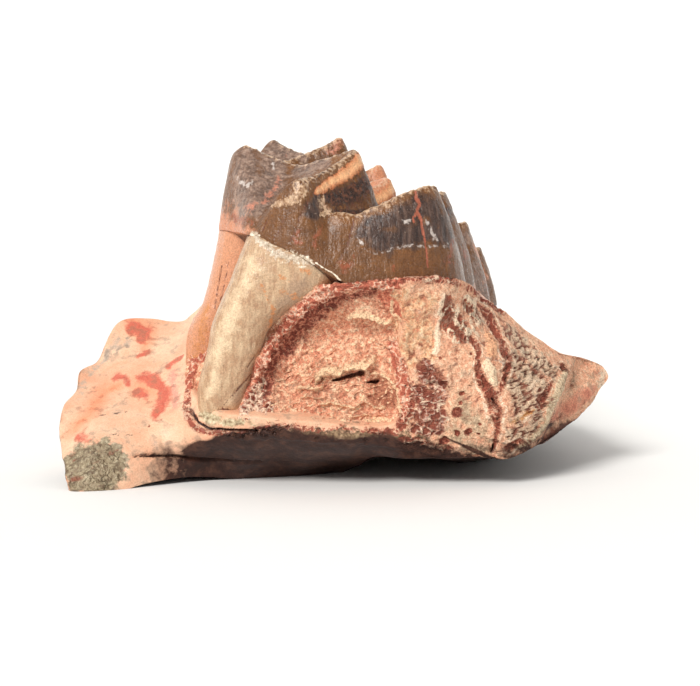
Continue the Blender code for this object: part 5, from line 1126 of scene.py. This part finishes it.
def crown_part(rows, turns, seed):
    """Places, turns and marks of a crown with its enamel relief, in the rear molar's own place."""
    falls = np.concatenate([np.linspace(0.0, CROWN_END, rows), np.linspace(0.81, 1.0, 14)])
    turn, fall = spread(falls, turns)
    skin = crown_surface(turn, fall)
    normal = outward(skin, turns)
    wall = ease(fall, 0.44, 0.58) * (1.0 - ease(fall, 0.79, 0.82))
    on_ridge = np.clip(1.0 - read_chart(ridge_away, skin[:, :2]) / 0.42, -1.0, 1.0)
    on_ridge = np.minimum(on_ridge, 2.0 * ease(skin[:, 2], 22.4, 23.2) - 1.0)
    firm = strayed(skin, seed + 4, 0.05, 0.05)
    loose = strayed(skin, seed + 5, 0.20, 0.12)
    found = {name: trails(loose, lines) for name, lines in CROWN_LOOSE.items()}
    found.update(crack=trails(firm, ENAMEL_CRACKS, 0.2), red_crack=trails(firm, RED_CRACKS, 0.2),
                 line=trails(firm, ENAMEL_LINES, 0.3), wisp=trails(firm, WHITE_WISPS),
                 white_edge=trails(firm, NECK_EDGES))
    band, crest, crystal = trail(firm, ORANGE_BAND), trail(firm, CREST), trail(firm, CRYSTAL)
    along_band = skin @ np.array([(0.62, 0.0, -0.55), (0.55, 0.0, 0.62), (0.56, 1.0, 0.56)])
    striped = grain(along_band, 0.34, seed + 6, 2, (1.0, 1.0, 12.0))
    bulge = np.sin(np.clip((CROWN_END - fall) / 0.34, 0.0, 1.0) * math.pi)
    basin = (1.0 - wall) * ease(-on_ridge, 0.0, 0.6)
    relief = 0.05 * grain(skin, 1.6, seed + 1, 3) + 0.12 * basin * grain(skin, 0.6, seed + 2, 3)
    relief += wall * (0.035 * grain(skin, 0.55, seed, 3, (1.0, 1.0, 5.0)) + 0.10 * bulge)
    relief += raised((
        (-0.09, found["crack"], 0.0, 0.6), (-0.10, found["red_crack"], 0.0, 0.6),
        (-0.12, found["line"], 0.0, 0.6), (0.10 + 0.08 * striped, band, 0.0, 0.4), (0.14, crystal, 0.0, 0.4),
        (0.08 * (0.4 + grain(skin, 0.28, seed + 3, 2)), found["pale"], 0.0, 0.4),
        (0.10 * grain(skin, 0.22, seed + 7, 2), np.maximum(crest, on_ridge), 0.0, 0.5),
        (0.06 * grain(skin, 0.35, seed + 8, 3, (1.0, 1.0, 2.0)), found["dark"], -0.1, 0.3),
        (0.07, found["wisp"], 0.0, 0.5)))
    skin = skin + normal * (relief * (1.0 - ease(fall, CROWN_END, 0.84)))[:, None]
    # Painted shade on the low basin floor between the worn ridges.
    deep = basin * (1.0 - ease(skin[:, 2], 23.6, 24.8)) * 2.0 - 1.2
    found.update(ridge=np.maximum(on_ridge * 0.9, crest), pale=np.maximum(found["pale"], 2.0 * crystal),
                 dentine=band + 0.35 * striped * ease(band, -0.2, 0.1),
                 dark_wall=np.maximum(found["dark_wall"], deep),
                 low=1.0 - ease(skin[:, 2] - read_loop(NECK, turn)[:, 2], 0.0, 2.4))
    return skin, turns, {name: found.get(name, np.full(len(skin), -1.0)) for name in TOOTH_MARKS}


def root_part(sections, rows, turns, seed):
    """Places, turns and marks of a root with lengthwise grooves, in the rear molar's own place."""
    turn, fall = spread(np.linspace(0.0, 1.0, rows), turns)
    skin = root_surface(sections, turn, fall)
    normal = outward(skin, turns)
    firm = strayed(skin, seed + 4, 0.05, 0.05)
    loose = strayed(skin, seed + 5, 0.24, 0.14)
    found = {name: trails(loose, lines) for name, lines in ROOT_LOOSE.items()}
    groove, end_dark = trails(firm, ROOT_GROOVES, 0.2), trail(firm, ROOT_END_DARK, 0.2)
    found.update(flakes=trails(loose, CROWN_LOOSE["flakes"]), white_edge=trails(firm, NECK_EDGES))
    relief = 0.07 * grain(skin, 1.4, seed, 3, (0.8, 0.8, 4.0)) + 0.03 * grain(skin, 0.5, seed + 1, 3)
    relief += raised((
        (-0.08, groove, 0.0, 0.7), (-0.14, end_dark, 0.0, 0.7),
        (0.08 + 0.14 * grain(skin, 0.7, seed + 2, 3, (2.0, 1.0, 0.7)), found["root_end"], 0.0, 0.4),
        (0.10 * (0.5 + grain(skin, 0.4, seed + 6, 3)), found["flakes"], 0.0, 0.4),
        (0.06, found["white_edge"], 0.0, 0.5)))
    skin = skin + normal * relief[:, None]
    found.update(crack=np.maximum(groove * 0.7, end_dark), root=np.ones(len(skin)),
                 peach=ease(skin[:, 1], 4.0, 5.5) * (1.0 - ease(skin[:, 0], -9.0, -5.0)) * 2.0 - 1.0)
    return skin, turns, {name: found.get(name, np.full(len(skin), -1.0)) for name in TOOTH_MARKS}


SPECKS_PER_MM = 6.5
enamel_paint, tree, spot, (broad, middling, fine, grit), curled = stone_paint("brown_enamel")
tall_spot = wire(tree, "ShaderNodeVectorMath", {0: spot, 1: (1.0, 1.0, 0.14)}, operation="MULTIPLY")
hairs = mottle(tree, tall_spot.outputs[0], 0.32, 3.0)
white_specks = stretched(tree, speckle(tree, spot, 1.0 / SPECKS_PER_MM, 1.0, 0.5), 0.735, 0.79)
root_cream = ((194, 160, 126), hairs, 0.6, (164, 124, 94), (218, 190, 154))
root_colour = painted(tree, shade(tree, (root_cream, middling, 0.35, (170, 122, 88), (212, 186, 152))), (
    ("root_lit_side", middling, 0.8, -0.1, 0.9, (230, 202, 166)),
    # Painted highlight on the root's left flank, then painted shade on its right part.
    ("root_shaded_side", middling, 0.8, -0.1, 0.6, (176, 144, 116)),
    ("peach", middling, 0.8, 0.0, 0.8, (212, 150, 114)),
    ("root_end", middling, 0.6, 0.0, 0.4, ((186, 168, 134), fine, 0.9, (128, 100, 74), (226, 210, 178))),
    ("rust", fine, 1.3, 0.1, 0.9, (204, 138, 88))))
brown = blended(tree, middling, tone(120, 77, 41), tone(92, 57, 30))
brown = blended(tree, product(tree, hairs, 0.32), brown, tone(142, 98, 58))
greyish = ((128, 100, 84), middling, 0.9, (94, 72, 60), (160, 130, 112))
dentine = stretched(tree, held(tree, "dentine"), 0.1, 0.9)
dentine = blended(tree, dentine, tone(198, 114, 70), tone(246, 190, 140))
colour = painted(tree, brown, (
    ("low", middling, 0.8, 0.2, 1.0, (110, 70, 36)),
    ("gold", middling, 0.4, -0.1, 0.5, (130, 84, 42)),
    ("grey", middling, 0.6, -0.1, 0.4, (greyish, fine, 0.6, (104, 84, 72), (188, 160, 142))),
    ("peach", middling, 0.8, -0.1, 0.6, (206, 138, 102)),
    ("pink", fine, 1.2, 0.2, 1.2, (200, 130, 104)),
    # Painted shade on the basin walls.
    ("dark_wall", fine, 0.8, -0.1, 0.3, ((66, 41, 30), fine, 0.9, (38, 23, 18), (122, 74, 50))),
    ("dark", middling, 0.7, -0.35, 0.45, ((74, 54, 46), hairs, 0.8, (48, 34, 30), (112, 88, 76))),
    ("pale", fine, 0.9, -0.05, 0.4, ((178, 142, 110), fine, 0.8, (140, 102, 74), (220, 190, 158))),
    ("dentine", fine, 0.5, 0.0, 0.25, dentine),
    ("rust", fine, 1.0, 0.15, 1.2, (156, 80, 50)),
    ("wisp", fine, 1.2, 0.2, 0.85, (200, 188, 180)),
    ("ridge", fine, 1.2, 0.15, 0.8, (232, 198, 164), 0.65),
    ("root", fine, 0.0, -0.1, 0.1, root_colour),
    ("flakes", fine, 1.0, 0.0, 0.4, ((200, 180, 156), fine, 0.9, (146, 118, 94), (240, 226, 206))),
    ("white_edge", fine, 0.9, 0.1, 0.6, (244, 228, 206)),
    ("red_crack", fine, 0.6, 0.0, 0.4, (172, 96, 72)),
    ("line", fine, 0.4, 0.05, 0.5, (58, 34, 26)),
    ("crack", fine, 0.4, 0.05, 0.5, (104, 56, 38)),
    ("root", fine, 0.0, 0.1, -0.1, (224, 200, 176), white_specks, 0.55)))
height = joined(tree, "ADD", product(tree, hairs, 0.5), product(tree, fine, 0.4))
shader = finish_paint(tree, colour, height, 0.07, grit, 0.55)
tree.links.new(stretched(tree, fine, 0.0, 1.0, 0.22, 0.46), shader.inputs["Roughness"])
shader.inputs["Coat Weight"].default_value = 0.10
shader.inputs["Coat Roughness"].default_value = 0.18
rear_parts = (crown_part(150, 420, 71), root_part(REAR_CHEEK_ROOT, 110, 150, 72),
              root_part(FRONT_CHEEK_ROOT, 80, 80, 73), root_part(PALATE_ROOT, 20, 40, 74))
piece("rear_molar_fossil", [grid_mesh(*part) for part in rear_parts], enamel_paint, "rear_molar")

# The middle and front molars: the same kind of tooth, a little smaller and more worn, each set further
# forward in the row. Only the rim of the middle one shows past the rear molar.
MIDDLE_TOOTH = (3.5, 27.4, 14.6, 0.9, -5.0, 0.98, 0.1)
FRONT_TOOTH = (7.8, 43.0, 13.2, 0.66, -8.0, 0.72, 0.06)
ROOT_HEIGHT = 0.8
MIDDLE_LOOSE = {
    "peach": (
        ((1.6, 23.6, 26.0, 2.2), (3.0, 26.0, 27.4, 2.4), (3.8, 23.8, 25.5, 2.0), (3.0, 31.0, 27.4, 2.0)),),
    "grey": (((11.6, 20.5, 23.0, 2.2), (13.4, 23.0, 19.0, 2.6), (14.4, 26.0, 16.0, 2.2)),)}
MIDDLE_RUST = (((12.3, 21.6, 18.4, 0.7), (12.9, 21.8, 17.4, 0.8)), ((9.9, 20.4, 24.8, 0.5),))


def moved(skin, tooth):
    """A rear molar's places made smaller, turned about its middle and set down elsewhere in the row:
    place + size x turn(X, Y); heights above the neck x tall, below it x ROOT_HEIGHT, less drop x X."""
    x0, y0, z0, size, turned, tall, drop = tooth
    cosine, sine = math.cos(math.radians(turned)), math.sin(math.radians(turned))
    x, y = (skin[:, 0] - CROWN_CENTRE[0]) * size, (skin[:, 1] - CROWN_CENTRE[1]) * size
    above = skin[:, 2] - NECK[:, 2].min()
    return np.column_stack([x0 + x * cosine - y * sine, y0 + x * sine + y * cosine,
                            z0 + above * np.where(above > 0.0, tall, ROOT_HEIGHT) - drop * x])


for name, tooth, seed in (("middle_molar", MIDDLE_TOOTH, 81), ("front_molar", FRONT_TOOTH, 91)):
    grids = []
    roots = enumerate((REAR_CHEEK_ROOT, FRONT_CHEEK_ROOT, PALATE_ROOT))
    for skin, turns, marks in [crown_part(120, 320, seed)] + [
            root_part(sections, 40, 60, seed + 4 + number) for number, sections in roots]:
        skin = moved(skin, tooth)
        worn = {mark: trails(skin, lines) for mark, lines in MIDDLE_LOOSE.items()}
        worn["rust"] = trails(strayed(skin, seed, 0.3, 0.1), MIDDLE_RUST)
        kept = {mark: marks[mark] for mark in ("root", "ridge", "low", "dentine")}
        for number, mark in enumerate(worn):
            kept[mark] = np.maximum(worn[mark], 1.4 * grain(skin, 2.2, seed + 20 + number) - 0.4)
        bare = np.full(len(skin), -1.0)
        grids.append(grid_mesh(skin, turns, {mark: kept.get(mark, bare) for mark in TOOTH_MARKS}))
    piece(name + "_fossil", grids, enamel_paint, name)
